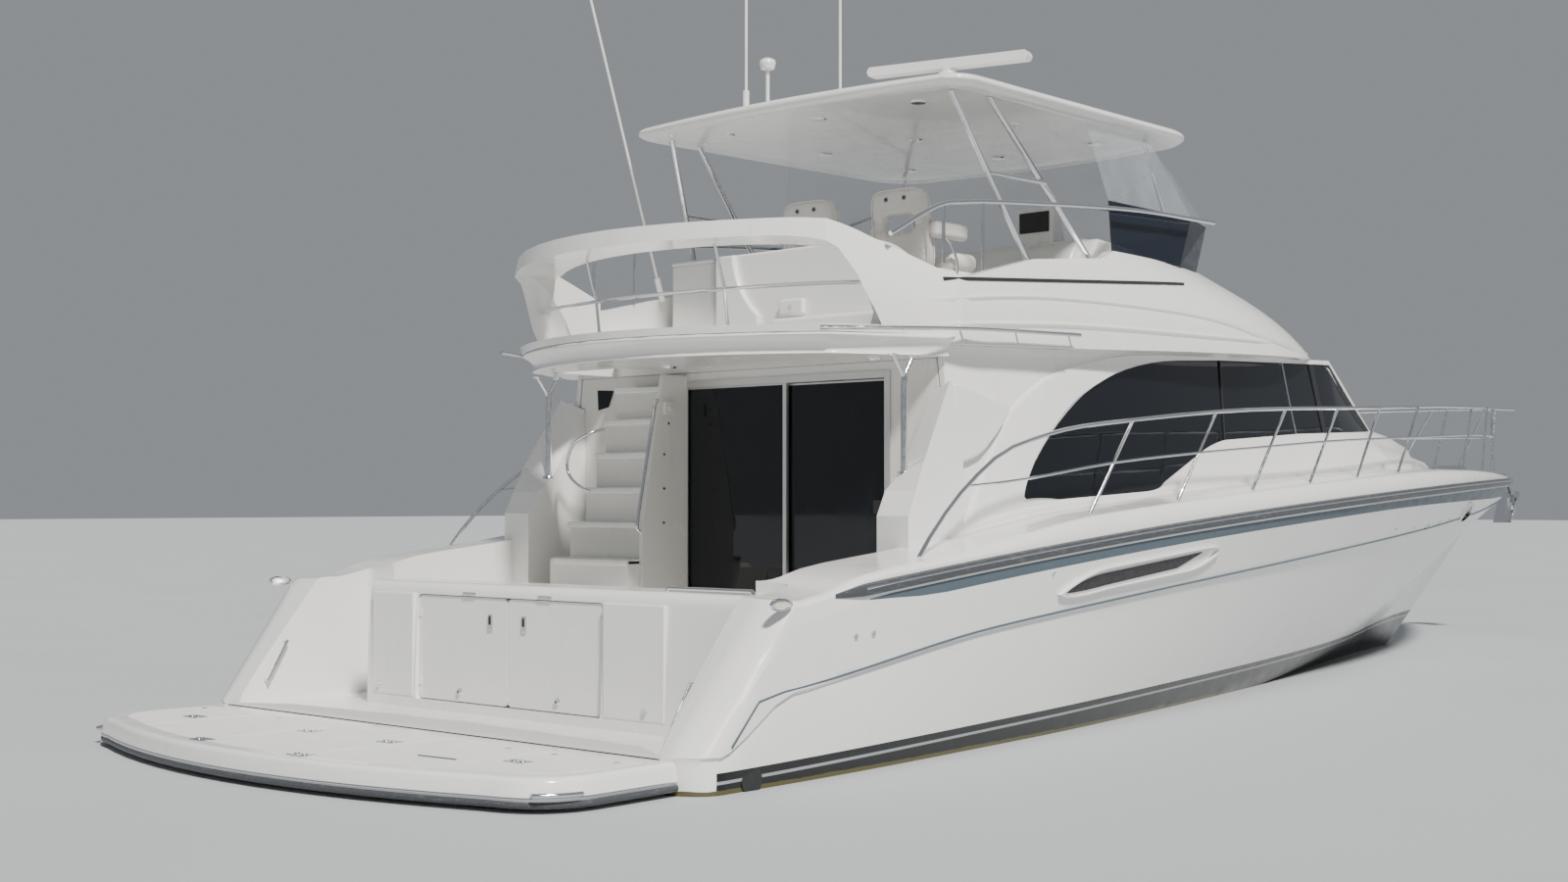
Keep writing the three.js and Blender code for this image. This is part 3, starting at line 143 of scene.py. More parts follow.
def settle(obj):
    """Applies an object's modifiers."""
    graph = bpy.context.evaluated_depsgraph_get()
    mesh = bpy.data.meshes.new_from_object(obj.evaluated_get(graph))
    obj.modifiers.clear()
    obj.data = mesh
    return obj


def cut(obj, *cutters, operation="DIFFERENCE"):
    """Cuts an object with others, or keeps what they share, and removes them."""
    for cutter in cutters:
        modifier = obj.modifiers.new("Cut", "BOOLEAN")
        modifier.operation = operation
        modifier.solver = "EXACT"
        modifier.object = cutter
    bpy.context.view_layer.update()
    settle(obj)
    for cutter in cutters:
        bpy.data.objects.remove(cutter)
    return obj


def soften(obj, width, segments, angle):
    """Rounds the sharp edges a little."""
    modifier = obj.modifiers.new("Soft edges", "BEVEL")
    modifier.width = width
    modifier.segments = segments
    modifier.limit_method = "ANGLE"
    modifier.angle_limit = math.radians(angle)
    modifier.use_clamp_overlap = True
    return settle(obj)


def finish(obj, body, nodes=(), angle=38):
    """Shades a piece smoothly between its edges, and says what it rides on and stands for."""
    obj.data.shade_smooth()
    obj.data.set_sharp_from_angle(angle=math.radians(angle))
    weights = obj.modifiers.new("Even shading", "WEIGHTED_NORMAL")
    weights.keep_sharp = True
    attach(obj, body)
    if nodes:
        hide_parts(*nodes)
    return obj


def piece(name, bm, surface, body="boat", nodes=(), angle=38, soft=None):
    """A piece of one surface, its edges softened by (width, segments, angle) where that is given."""
    obj = mesh_object(name, bm, paint(surface))
    if soft:
        soften(obj, *soft)
    return finish(obj, body, nodes, angle)


def skin(bm, rows, closed=True, capped=True):
    """A surface through rows of points, from a grid whose points are moved to them."""
    across = len(rows)
    down = len(rows[0]) + (1 if closed else 0)
    grid = bmesh.ops.create_grid(bm, x_segments=across - 1, y_segments=down - 1, size=1.0)
    for vert in grid["verts"]:
        i = round((vert.co.x + 1) / 2 * (across - 1))
        j = round((vert.co.y + 1) / 2 * (down - 1))
        vert.co = Vector(rows[i][j % len(rows[0])])
    bmesh.ops.remove_doubles(bm, verts=grid["verts"], dist=1e-5)
    if capped:
        rim = [e for e in bm.edges if e.is_boundary]
        bmesh.ops.holes_fill(bm, edges=rim, sides=0)
    bmesh.ops.recalc_face_normals(bm, faces=bm.faces)
    return bm


def rod(bm, start, end, radius, tip, sides):
    """A round bar from one point to another, tapered where a tip radius is given."""
    start, end = Vector(start), Vector(end)
    span = end - start
    place = Matrix.Translation((start + end) / 2) @ span.to_track_quat("Z", "Y").to_matrix().to_4x4()
    bmesh.ops.create_cone(
        bm, cap_ends=True, segments=sides, radius1=radius, radius2=radius if tip is None else tip,
        depth=span.length, matrix=place)
    return bm


def block(bm, low, high):
    """A box between two corners."""
    low, high = Vector(low), Vector(high)
    place = Matrix.Translation((low + high) / 2) @ Matrix.Diagonal((*(high - low), 1))
    return bmesh.ops.create_cube(bm, size=1.0, matrix=place)["verts"]


def bevel(bm, edges, width, segments, clamped=True):
    bmesh.ops.bevel(
        bm, geom=edges, offset=width, offset_type="OFFSET", segments=segments, profile=0.5,
        affect="EDGES", material=-1, clamp_overlap=clamped)


def along_axis(edge, axis):
    """True for an edge that runs along an axis."""
    start, end = edge.verts
    return abs((start.co - end.co).normalized()[axis]) > 0.9


def soft_block(bm, low, high, radius, segments=3):
    """A box with round edges."""
    verts = block(bm, low, high)
    bevel(bm, list({e for v in verts for e in v.link_edges}), radius, segments)
    return bm


def pipe(bm, points, radius, sides, smoothed=True):
    """A tube through points, rounded at its ends."""
    curve = bpy.data.curves.new("pipe", "CURVE")
    curve.dimensions = "3D"
    curve.bevel_depth = radius
    curve.bevel_resolution = max(1, sides // 4)
    curve.use_fill_caps = True
    line = smooth_line(points) if smoothed else points
    spline = curve.splines.new("POLY")
    spline.points.add(len(line) - 1)
    for point, place in zip(spline.points, line):
        point.co = (*place, 1)
    holder = bpy.data.objects.new("pipe", curve)
    mesh = bpy.data.meshes.new_from_object(holder)
    bm.from_mesh(mesh)
    bpy.data.objects.remove(holder)
    bpy.data.meshes.remove(mesh)
    return bm


def smooth_line(points):
    """Points along a smooth curve through the points given."""
    points = [Vector(p) for p in points]
    ends = [2 * points[0] - points[1], *points, 2 * points[-1] - points[-2]]
    line = []
    for a, b, c, d in zip(ends, ends[1:], ends[2:], ends[3:]):
        for k in range(CURVE_STEPS):
            t = k / CURVE_STEPS
            line.append(
                0.5 * (2 * b + (c - a) * t + (2 * a - 5 * b + 4 * c - d) * t**2
                       + (3 * b - a - 3 * c + d) * t**3))
    line.append(points[-1])
    return line


def outline(start, *parts, steps=10):
    """A flat outline: (u, v) is a straight side, and pull points before it bend the side to a curve."""
    line = [Vector(start)]
    for part in parts:
        points = [line[-1], *(Vector(part[k:k + 2]) for k in range(0, len(part), 2))]
        if len(points) == 2:
            line.append(points[1])
            continue
        for k in range(1, steps + 1):
            row = points
            while len(row) > 1:
                row = [a.lerp(b, k / steps) for a, b in zip(row, row[1:])]
            line.append(row[0])
    if (line[0] - line[-1]).length < 1e-6:
        line.pop()
    return line


def prism(bm, line, low, high, axis):
    """A flat outline pushed along an axis: 'x' takes (y, z), 'y' takes (x, z), 'z' takes (x, y)."""
    def place(u, v, w):
        return {"x": (w, u, v), "y": (u, w, v), "z": (u, v, w)}[axis]
    verts = [bm.verts.new(place(u, v, low)) for u, v in line]
    face = bm.faces.new(verts)
    moved = bmesh.ops.extrude_face_region(bm, geom=[face])["geom"]
    shift = Vector(place(0, 0, high - low))
    bmesh.ops.translate(bm, vec=shift, verts=[g for g in moved if isinstance(g, bmesh.types.BMVert)])
    bmesh.ops.recalc_face_normals(bm, faces=bm.faces)
    return bm


def soft_prism(line, low, high, axis, radius, segments=4):
    """A pushed outline whose far and near rims are rounded."""
    bm = prism(bmesh.new(), line, low, high, axis)
    index = "xyz".index(axis)
    rims = [e for e in bm.edges if abs(e.verts[0].co[index] - e.verts[1].co[index]) < 1e-6]
    bevel(bm, rims, radius, segments)
    return bm


def cutter(line, low, high, axis):
    """A pushed outline to cut with."""
    return mesh_object("cutter", prism(bmesh.new(), line, low, high, axis))


def box_cutter(low, high, radius=0.0, axis=None):
    """A box to cut with, its corners rounded about an axis where one is given."""
    bm = bmesh.new()
    verts = block(bm, low, high)
    if axis is not None:
        edges = {e for v in verts for e in v.link_edges}
        bevel(bm, [e for e in edges if along_axis(e, axis)], radius, 5)
    return mesh_object("cutter", bm)


def dressed(name, surface, node, body="boat", width=0.0, segments=2):
    """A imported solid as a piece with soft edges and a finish."""
    bm = bmesh.new()
    bm.from_mesh(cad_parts[node].data)
    bmesh.ops.remove_doubles(bm, verts=bm.verts, dist=2e-5)
    bmesh.ops.dissolve_limit(bm, angle_limit=math.radians(0.6), verts=bm.verts, edges=bm.edges)
    if width:
        sharp = [e for e in bm.edges if e.is_manifold and e.calc_face_angle(0) > SHARP_ANGLE]
        bevel(bm, sharp, width, segments)
    return piece(name, bm, surface, body, [node])


# Finishes


class Shade:
    """A material under construction: its node tree and surface shader."""

    def __init__(self, name, color, roughness, metallic=0.0):
        self.material = bpy.data.materials.new(name)
        self.material.use_nodes = True
        self.tree = self.material.node_tree
        self.shader = self.tree.nodes["Principled BSDF"]
        self.shader.inputs["Base Color"].default_value = (*color, 1)
        self.shader.inputs["Roughness"].default_value = roughness
        self.shader.inputs["Metallic"].default_value = metallic
        self.place = self.tree.nodes.new("ShaderNodeTexCoord").outputs["Object"]

    def set(self, **values):
        for name, value in values.items():
            self.shader.inputs[name.replace("_", " ")].default_value = value
        return self

    def node(self, kind, settings=None, **links):
        node = self.tree.nodes.new(kind)
        for name, value in (settings or {}).items():
            setattr(node, name, value)
        for name, value in links.items():
            key = int(name[1:]) if name[0] == "i" and name[1:].isdigit() else name.replace("_", " ")
            if isinstance(value, bpy.types.NodeSocket):
                self.tree.links.new(value, node.inputs[key])
            else:
                node.inputs[key].default_value = value
        return node

    def link(self, value, name):
        self.tree.links.new(value, self.shader.inputs[name])

    def stretched(self, x, y, z):
        return self.node("ShaderNodeMapping", None, Vector=self.place, Scale=(x, y, z)).outputs[0]

    def noise(self, scale, detail=4.0, place=None, roughness=0.5):
        return self.node(
            "ShaderNodeTexNoise", None, Vector=place or self.place, Scale=scale, Detail=detail,
            Roughness=roughness).outputs[0]

    def math(self, operation, a, b):
        return self.node("ShaderNodeMath", {"operation": operation}, i0=a, i1=b).outputs[0]

    def between(self, value, low, high, to_low, to_high):
        return self.node(
            "ShaderNodeMapRange", None, Value=value, From_Min=low, From_Max=high, To_Min=to_low,
            To_Max=to_high).outputs[0]

    def blend(self, factor, a, b):
        """A colour between two colours."""
        node = self.tree.nodes.new("ShaderNodeMix")
        node.data_type = "RGBA"
        for socket, value in ((node.inputs[0], factor), (node.inputs[6], a), (node.inputs[7], b)):
            if isinstance(value, bpy.types.NodeSocket):
                self.tree.links.new(value, socket)
            elif socket == node.inputs[0]:
                socket.default_value = value
            else:
                socket.default_value = (*value, 1)
        return node.outputs[2]

    def bump(self, height, distance, strength):
        node = self.node("ShaderNodeBump", None, Height=height, Distance=distance, Strength=strength)
        self.link(node.outputs[0], "Normal")
        return self

    def axis(self, index):
        return self.node("ShaderNodeSeparateXYZ", None, Vector=self.place).outputs[index]


def worn_gelcoat(shade, color, soil):
    """Polished gelcoat with faint clouds, a little grime, and the slow waves of a moulded skin."""
    clouds = shade.between(shade.noise(1.3, 5.0), 0.35, 0.7, 0.0, 1.0)
    streaks = shade.noise(3.0, 6.0, shade.stretched(3.0, 3.0, 0.35), 0.6)
    grime = shade.between(streaks, 0.58, 0.8, 0.0, soil)
    tone = shade.blend(clouds, color, tuple(c * 0.965 for c in color))
    dirty = tuple(c * k for c, k in zip(color, (0.80, 0.76, 0.68)))
    base = shade.blend(grime, tone, dirty)
    gloss = shade.between(shade.noise(6.0, 6.0), 0.3, 0.75, 0.16, 0.3)
    shade.link(gloss, "Roughness")
    waves = shade.math("ADD", shade.noise(1.1, 2.0), shade.math("MULTIPLY", shade.noise(60.0, 3.0), 0.02))
    shade.bump(waves, 0.012, 0.35)
    return base


def gelcoat():
    finishes = bpy.context.scene.yacht_finishes
    shade = Shade("gelcoat", finishes.gelcoat, 0.22).set(Coat_Weight=0.35, Coat_Roughness=0.06)
    shade.link(worn_gelcoat(shade, tuple(finishes.gelcoat), 0.35), "Base Color")
    return shade.material


def shaded_cream_gelcoat():
    """The creamier, duller gelcoat of sheltered surfaces: cockpit, soffit and stairs, its darker tone
    painted shade under the overhang.
    """
    finishes = bpy.context.scene.yacht_finishes
    shade = Shade("sheltered_gelcoat", finishes.sheltered, 0.38).set(Coat_Weight=0.15)
    shade.link(worn_gelcoat(shade, tuple(finishes.sheltered), 0.6), "Base Color")
    return shade.material


def hull_paint():
    """Hull gelcoat with the boot stripes and a painted highlight line between them, the waterline's growth
    and dark bottom paint.
    """
    finishes = bpy.context.scene.yacht_finishes
    white, black = tuple(finishes.gelcoat), (0.004, 0.004, 0.005)
    shade = Shade("hull_gelcoat", white, 0.2).set(Coat_Roughness=0.05)
    base = worn_gelcoat(shade, white, 0.2)
    # Whiter vertical streaks towards the bow
    bow_streak_noise = shade.noise(9.0, 3.0, shade.stretched(1.6, 1.6, 0.35), 0.55)
    bow = shade.between(shade.axis(0), 9.0, 13.0, 0.0, 0.5)
    bow_streaks = shade.math("MULTIPLY", shade.between(bow_streak_noise, 0.6, 0.72, 0.0, 1.0), bow)
    base = shade.blend(bow_streaks, base, (1.0, 1.0, 1.0))
    rise = shade.math("MULTIPLY", shade.axis(0), finishes.boot_rise)
    height = shade.math("SUBTRACT", shade.axis(2), rise)
    ragged = shade.math("MULTIPLY", shade.noise(7.0, 5.0), 0.018)
    # Top edge and colour of each band, from the highest; the grey band between the black ones is a painted
    # highlight along the chine's edge
    bands = (
        (finishes.boot_top, black),
        (finishes.boot_top - 0.045, (0.30, 0.32, 0.34)),
        (finishes.boot_top - 0.062, black),
    )
    color = base
    ahead = shade.math("GREATER_THAN", shade.axis(0), WING_FOOT_X)
    for edge, paint_color in bands:
        below = shade.math("MULTIPLY", shade.math("LESS_THAN", height, edge), ahead)
        color = shade.blend(below, color, paint_color)
    dark = shade.math("MULTIPLY", shade.math("LESS_THAN", height, finishes.boot_top), ahead)
    shade.link(shade.between(dark, 0.0, 1.0, 0.45, 0.0), "Coat Weight")
    growth = shade.math("LESS_THAN", shade.math("ADD", shade.axis(2), ragged), GROWTH_Z)
    color = shade.blend(growth, color, (0.085, 0.075, 0.022))
    bottom = shade.math("LESS_THAN", shade.axis(2), BOTTOM_PAINT_Z)
    color = shade.blend(bottom, color, (0.018, 0.02, 0.026))
    shade.link(color, "Base Color")
    return shade.material


# Dark slate paint. Under the rubbing rail it is a stripe and also painted shadow and reflection of the
# rail's overhang; on the knuckle line it is painted shadow of the step.
def stripe_and_shadow_paint():
    finishes = bpy.context.scene.yacht_finishes
    shade = Shade("stripe_and_shadow_paint", finishes.stripe, 0.4).set(IOR=1.3)
    rub = shade.between(shade.noise(14.0, 6.0, shade.stretched(0.3, 1.0, 4.0)), 0.6, 0.8, 0.0, 0.3)
    shade.link(shade.blend(rub, tuple(finishes.stripe), (0.2, 0.23, 0.25)), "Base Color")
    shade.link(shade.between(shade.noise(12.0), 0.3, 0.7, 0.32, 0.48), "Roughness")
    return shade.material


def nonskid():
    """Moulded deck tread: a fine raised diamond pattern in slightly duller gelcoat."""
    finishes = bpy.context.scene.yacht_finishes
    color = tuple(c * 0.965 for c in finishes.gelcoat)
    shade = Shade("nonskid", color, 0.55)
    turned = shade.node(
        "ShaderNodeMapping", None, Vector=shade.place, Rotation=(0, 0, math.pi / 4)).outputs[0]
    cells = shade.node("ShaderNodeTexVoronoi", {"distance": "CHEBYCHEV"}, Vector=turned, Scale=150.0)
    worn = shade.noise(5.0, 6.0)
    tone = shade.blend(shade.between(worn, 0.45, 0.75, 0.0, 0.7), color,
                       tuple(c * k for c, k in zip(color, (0.9, 0.89, 0.86))))
    shade.link(tone, "Base Color")
    shade.bump(cells.outputs[0], 0.002, 0.5)
    return shade.material


def stainless():
    finishes = bpy.context.scene.yacht_finishes
    shade = Shade("stainless", finishes.stainless, 0.12, 1.0)
    shade.link(shade.between(shade.noise(30.0, 5.0), 0.3, 0.75, 0.06, 0.24), "Roughness")
    water_marks = shade.between(shade.noise(120.0, 4.0), 0.6, 0.8, 0.0, 0.4)
    shade.link(shade.blend(water_marks, tuple(finishes.stainless), (0.62, 0.6, 0.56)), "Base Color")
    shade.bump(shade.noise(45.0, 3.0), 0.0006, 0.3)
    return shade.material


def aluminium():
    shade = Shade("satin_aluminium", (0.66, 0.66, 0.65), 0.35, 0.85)
    shade.link(shade.between(shade.noise(25.0, 6.0, shade.stretched(1, 1, 0.05)), 0.3, 0.7, 0.28, 0.48),
               "Roughness")
    shade.bump(shade.noise(300.0, 2.0, shade.stretched(1, 1, 0.02)), 0.0004, 0.4)
    return shade.material


def dark_glass(name="tinted_glass", tint=(0.006, 0.008, 0.011), seen=0.12):
    """Heavily tinted glass: mostly dark gloss, with a little of what lies behind it."""
    shade = Shade(name, tint, 0.03).set(IOR=1.45)
    shade.set(Transmission_Weight=seen)
    shade.link(shade.between(shade.noise(4.0, 5.0), 0.4, 0.8, 0.015, 0.07), "Roughness")
    salt = shade.between(shade.noise(14.0, 8.0, None, 0.7), 0.62, 0.85, 0.0, 0.06)
    shade.link(shade.blend(salt, tint, (0.2, 0.21, 0.22)), "Base Color")
    shade.bump(shade.noise(0.9, 1.0), 0.004, 0.3)
    return shade.material


def door_glass():
    return dark_glass("door_glass", (0.014, 0.017, 0.022), 0.5)


def smoke_acrylic():
    shade = Shade("smoke_acrylic", (0.012, 0.016, 0.026), 0.06).set(IOR=1.42, Alpha=0.88)
    shade.link(shade.between(shade.noise(20.0, 6.0), 0.4, 0.8, 0.04, 0.2), "Roughness")
    shade.bump(shade.noise(2.2, 2.0), 0.006, 0.3)
    return shade.material


def clear_vinyl():
    """Flexible clear sheet: nearly invisible, with a haze and soft ripples that catch the light."""
    shade = Shade("clear_vinyl", (0.62, 0.68, 0.76), 0.08).set(IOR=1.4)
    haze = shade.noise(3.0, 5.0, shade.stretched(1, 1, 0.4), 0.6)
    shade.link(shade.between(haze, 0.35, 0.8, 0.05, 0.16), "Alpha")
    shade.link(shade.between(haze, 0.3, 0.8, 0.05, 0.22), "Roughness")
    shade.bump(shade.noise(2.6, 3.0), 0.03, 0.35)
    return shade.material


def upholstery():
    """White marine vinyl: fine leather grain, soft sheen, a little soil in the hollows."""
    finishes = bpy.context.scene.yacht_finishes
    color = tuple(finishes.vinyl)
    shade = Shade("marine_vinyl", color, 0.5).set(Sheen_Weight=0.1, Coat_Weight=0.08)
    grain = shade.node("ShaderNodeTexVoronoi", {"feature": "DISTANCE_TO_EDGE"}, Vector=shade.place,
                       Scale=420.0).outputs[0]
    soil = shade.between(shade.noise(7.0, 6.0), 0.45, 0.8, 0.0, 0.6)
    shade.link(shade.blend(soil, color, tuple(c * 0.86 for c in color)), "Base Color")
    shade.link(shade.between(shade.noise(16.0, 4.0), 0.3, 0.7, 0.4, 0.6), "Roughness")
    shade.bump(shade.math("MINIMUM", grain, 0.12), 0.0015, 0.4)
    return shade.material


def curtain_cloth():
    color = (0.16, 0.165, 0.17)
    shade = Shade("curtain_cloth", color, 0.9).set(Sheen_Weight=0.2)
    weave = shade.node("ShaderNodeTexWave", {"bands_direction": "Z"}, Vector=shade.place, Scale=160.0)
    shade.link(shade.blend(weave.outputs[1], color, (0.11, 0.115, 0.12)), "Base Color")
    shade.bump(weave.outputs[1], 0.001, 0.4)
    return shade.material


def rub_vinyl():
    color = (0.055, 0.06, 0.068)
    shade = Shade("rub_vinyl", color, 0.45)
    scuff = shade.between(shade.noise(50.0, 6.0, shade.stretched(0.3, 1, 2)), 0.55, 0.8, 0.0, 0.7)
    shade.link(shade.blend(scuff, color, (0.2, 0.21, 0.22)), "Base Color")
    shade.bump(shade.noise(260.0, 3.0), 0.0008, 0.4)
    return shade.material


def black_moulding():
    shade = Shade("black_moulding", (0.018, 0.018, 0.02), 0.45)
    shade.link(shade.between(shade.noise(40.0, 4.0), 0.3, 0.7, 0.35, 0.6), "Roughness")
    shade.bump(shade.noise(400.0, 2.0), 0.0006, 0.5)
    return shade.material


def cast_bronze():
    color = (0.42, 0.29, 0.13)
    shade = Shade("cast_bronze", color, 0.35, 0.9)
    film = shade.between(shade.noise(14.0, 7.0), 0.45, 0.7, 0.0, 0.8)
    shade.link(shade.blend(film, color, (0.12, 0.16, 0.12)), "Base Color")
    shade.link(shade.between(film, 0.0, 0.8, 0.25, 0.7), "Roughness")
    shade.bump(shade.noise(90.0, 5.0), 0.002, 0.4)
    return shade.material


def cherry():
    """Varnished cherry joinery with lengthwise grain."""
    shade = Shade("cherry", (0.16, 0.06, 0.025), 0.25).set(Coat_Weight=0.6, Coat_Roughness=0.08)
    rings = shade.node("ShaderNodeTexWave", {"bands_direction": "Y"}, Vector=shade.stretched(0.1, 6, 2),
                       Scale=3.0, Distortion=5.0, Detail=4.0).outputs[1]
    shade.link(shade.blend(rings, (0.2, 0.08, 0.03), (0.1, 0.035, 0.014)), "Base Color")
    shade.bump(rings, 0.0008, 0.2)
    return shade.material


def engine_paint():
    color = (0.4, 0.41, 0.42)
    shade = Shade("engine_paint", color, 0.5)
    oil = shade.between(shade.noise(6.0, 7.0), 0.5, 0.75, 0.0, 0.8)
    shade.link(shade.blend(oil, color, (0.08, 0.07, 0.06)), "Base Color")
    shade.bump(shade.noise(110.0, 4.0), 0.001, 0.4)
    return shade.material


def lamp_lens():
    shade = Shade("lamp_lens", (0.75, 0.72, 0.6), 0.12).set(Coat_Weight=1.0)
    rings = shade.node("ShaderNodeTexWave", {"wave_type": "RINGS"}, Vector=shade.place, Scale=60.0)
    shade.link(shade.blend(rings.outputs[1], (0.85, 0.82, 0.7), (0.5, 0.47, 0.36)), "Base Color")
    shade.bump(rings.outputs[1], 0.001, 0.4)
    return shade.material


def pale_floor():
    shade = Shade("pale_floor", (0.46, 0.48, 0.50), 0.7)
    shade.link(shade.between(shade.noise(0.4, 3.0), 0.3, 0.7, 0.62, 0.78), "Roughness")
    return shade.material


MATERIALS = {}
MAKERS = {
    "gelcoat": gelcoat, "sheltered": shaded_cream_gelcoat, "hull": hull_paint, "stripe": stripe_and_shadow_paint,
    "nonskid": nonskid, "steel": stainless, "aluminium": aluminium, "glass": dark_glass,
    "door_glass": door_glass, "smoke": smoke_acrylic, "clear": clear_vinyl,
    "vinyl": upholstery, "curtain": curtain_cloth,
    "rub": rub_vinyl, "black": black_moulding, "bronze": cast_bronze, "cherry": cherry,
    "iron": engine_paint, "lens": lamp_lens, "floor": pale_floor,
}


def paint(name):
    if name not in MATERIALS:
        MATERIALS[name] = MAKERS[name]()
    return MATERIALS[name]


# Hull lines


def sheer_half(x):
    """Half-breadth at the rubbing rail."""
    t = max(0.0, (x - PARALLEL_X) / (BOW_X - PARALLEL_X))
    return max(0.03, HALF_BEAM * (1 - min(1.0, t) ** SHEER_POWER))


def rub_z(x):
    """Height of the rubbing rail's middle."""
    return 1.78 - 0.854 * (1 - min(1.0, max(0.0, x / BOW_X))) ** 2.2


def deck_z(x):
    """Height of the deck's edge."""
    return rub_z(x) + 0.09 + 0.085 * smooth(x, 1.9, 3.6) - 0.15 * smooth(x, 8.5, BOW_X)


def knuckle_z(x):
    """Foot of the step along the hull's side, always clear below the rubbing rail."""
    sweep = 0.118 * max(0.0, x) ** 0.84 * smooth(x, -1.2, 2.4)
    line = 0.18 + 0.28 * smooth(x, -0.02, 0.32) + 0.045 * smooth(x, -0.6, 3) + sweep
    return min(line, rub_z(x) - 0.12)


# x, keel z, chine half-breadth, chine z, half-breadth at the waterline
HULL_STATIONS = (
    (STERN_X, -0.78, 2.33, -0.13, 2.375), (0.45, -0.79, 2.32, -0.13, 2.35),
    (1.3, -0.8, 2.26, -0.125, 2.275), (2.65, -0.82, 2.11, -0.11, 2.14),
    (3.7, -0.84, 1.98, -0.095, 2.01), (5.0, -0.86, 1.77, -0.07, 1.8),
    (6.4, -0.87, 1.53, -0.04, 1.56), (7.8, -0.85, 1.29, 0.02, 1.29),
    (9.2, -0.78, 1.06, 0.15, 1.05), (10.6, -0.62, 0.8, 0.33, 0.72),
    (11.8, -0.34, 0.56, 0.56, 0.4), (12.7, -0.01, 0.38, 0.8, 0.06),
    (13.7, 0.576, 0.2, 1.12, 0.0), (14.7, 1.183, 0.09, 1.45, 0.0),
    (15.4, 1.608, 0.04, 1.69, 0.0), (BOW_X, 1.745, 0.02, 1.765, 0.0),
)
KNUCKLE_STEP = 0.022
RAIL_REACH = 0.05
BAND_START_X = 0.9
SIDE_STEPS = 8


def stripe_low_z(x):
    """Lower edge of the dark band under the rubbing rail, a stripe that is also painted shadow and
    reflection; at the bow it sweeps down to the knuckle, painting the shade there.
    """
    depth = 0.07 * smooth(x, BAND_START_X, 1.9) + 0.04 * smooth(x, 8.0, 12.5)
    plain = rub_z(x) - RAIL_REACH - depth
    return mix(plain, min(knuckle_z(x) + 0.06, plain), smooth(x, 14.1, 15.3))


def stern_x(z):
    """The raked aft edge of the hull's wings, above the swim platform."""
    return STERN_X + 0.69 * min(1.0, max(0.0, (z - SILL_Z) / WING_HEIGHT)) + 0.136 * max(0.0, z - 1.06)


def hull_section(x):
    """Starboard half of a hull section from keel to deck: (half-breadth, z) rows."""
    keel_z, chine, chine_z, water = along(HULL_STATIONS, x)
    b, rz = sheer_half(x), rub_z(x)
    low = max(keel_z + 0.012, knuckle_z(x))
    if water > 0.001:
        knuckle = water + (b - water) * min(1.0, max(0.0, low / (rz - 0.06))) ** 0.85 - KNUCKLE_STEP
    else:
        rise = max(0.0, (low - chine_z) / max(0.02, rz - 0.06 - chine_z))
        knuckle = chine + (b - chine) * rise**0.85
    if low <= chine_z:
        knuckle, low = chine * 0.98, chine_z + 0.008
    knuckle = min(knuckle, b - 0.002)
    step = min(KNUCKLE_STEP, (b - knuckle) / 2)
    band_z = max(low + step + 0.004, min(stripe_low_z(x), rz - RAIL_REACH - 0.001))
    top = max(rz - RAIL_REACH, low + step + 0.008)
    rows = [(0.0, keel_z)]
    for k in range(1, 4):
        rows.append((chine * k / 4, keel_z + (chine_z - keel_z) * (0.56 * k / 2 if k < 3 else 0.78)))
    rows.append((chine, chine_z))
    for k in range(1, SIDE_STEPS):
        t = k / SIDE_STEPS
        belly = 0.02 * math.sin(math.pi * t)
        rows.append((mix(chine, knuckle, t) + belly * min(1, chine), mix(chine_z, low, t)))
    rows.append((knuckle, low))
    rows.append((knuckle + step, low + step))
    for k in range(1, SIDE_STEPS):
        t = k / SIDE_STEPS
        z = mix(low + step, band_z, t)
        rows.append((mix(knuckle + step, b, (z - low - step) / (top - low - step)), z))
    rows.append((mix(knuckle + step, b, (band_z - low - step) / (top - low - step)), band_z))
    rows.append((b, top))
    lip_z = rz + RAIL_REACH
    rows.append((b, lip_z))
    lip = min(0.07, b / 3)
    for k in range(1, 6):
        a = k / 5 * math.pi / 2
        rows.append((b - lip * (1 - math.cos(a)), lip_z + (deck_z(x) - lip_z) * math.sin(a)))
    for k in range(1, 7):
        t = k / 6
        rows.append(((b - lip) * (1 - t), deck_z(x) + 0.025 * b * (1 - (1 - t) ** 2)))
    return rows


def hull_row(station):
    """One closed ring of the hull, raked and rounded near the stern."""
    rake = 1 - smooth(station, STERN_X, STERN_X + 1.6)
    ahead = station - STERN_X
    ring = []
    for half, z in hull_section(station):
        x = station + (stern_x(z) - STERN_X) * rake
        if half > 0:
            half = max(0.0, min(half, sheer_half(x)))
        lean = min(1.0, max(0.0, (z - SILL_Z) / WING_HEIGHT))
        length = mix(0.2, 0.07, lean)
        if ahead < length and half > 1.9:
            half -= 0.26 * (1 - math.sqrt(1 - (1 - ahead / length) ** 2))
        ring.append((x, half, z))
    stbd = [(x, -y, z) for x, y, z in ring]
    port = [(x, y, z) for x, y, z in reversed(ring[1:-1])]
    return stbd + port


def hull_stations():
    near = [STERN_X + d for d in (0, 0.006, 0.02, 0.045, 0.08, 0.12, 0.17, 0.22, 0.3, 0.42, 0.56)]
    middle = [0.55 + 0.27 * k for k in range(52)]
    bow = [14.7 + 0.14 * k for k in range(7)] + [BOW_X - 0.06, BOW_X]
    return near + middle + bow


def hull_half(x, z):
    """The hull's half-breadth at a height on its side."""
    rows = hull_section(x)
    for (y0, z0), (y1, z1) in zip(rows, rows[1:]):
        if z0 <= z <= z1 and z1 > z0:
            return mix(y0, y1, (z - z0) / (z1 - z0))
    return sheer_half(x)


def saloon_outline():
    aft, fore = BULKHEAD_X + 0.0803, 9.0
    return outline((aft, -1.7), (5.2, -1.7), (7.6, -1.42), (fore, -1.0), (fore, 1.0), (7.6, 1.42),
                   (5.2, 1.7), (aft, 1.7))


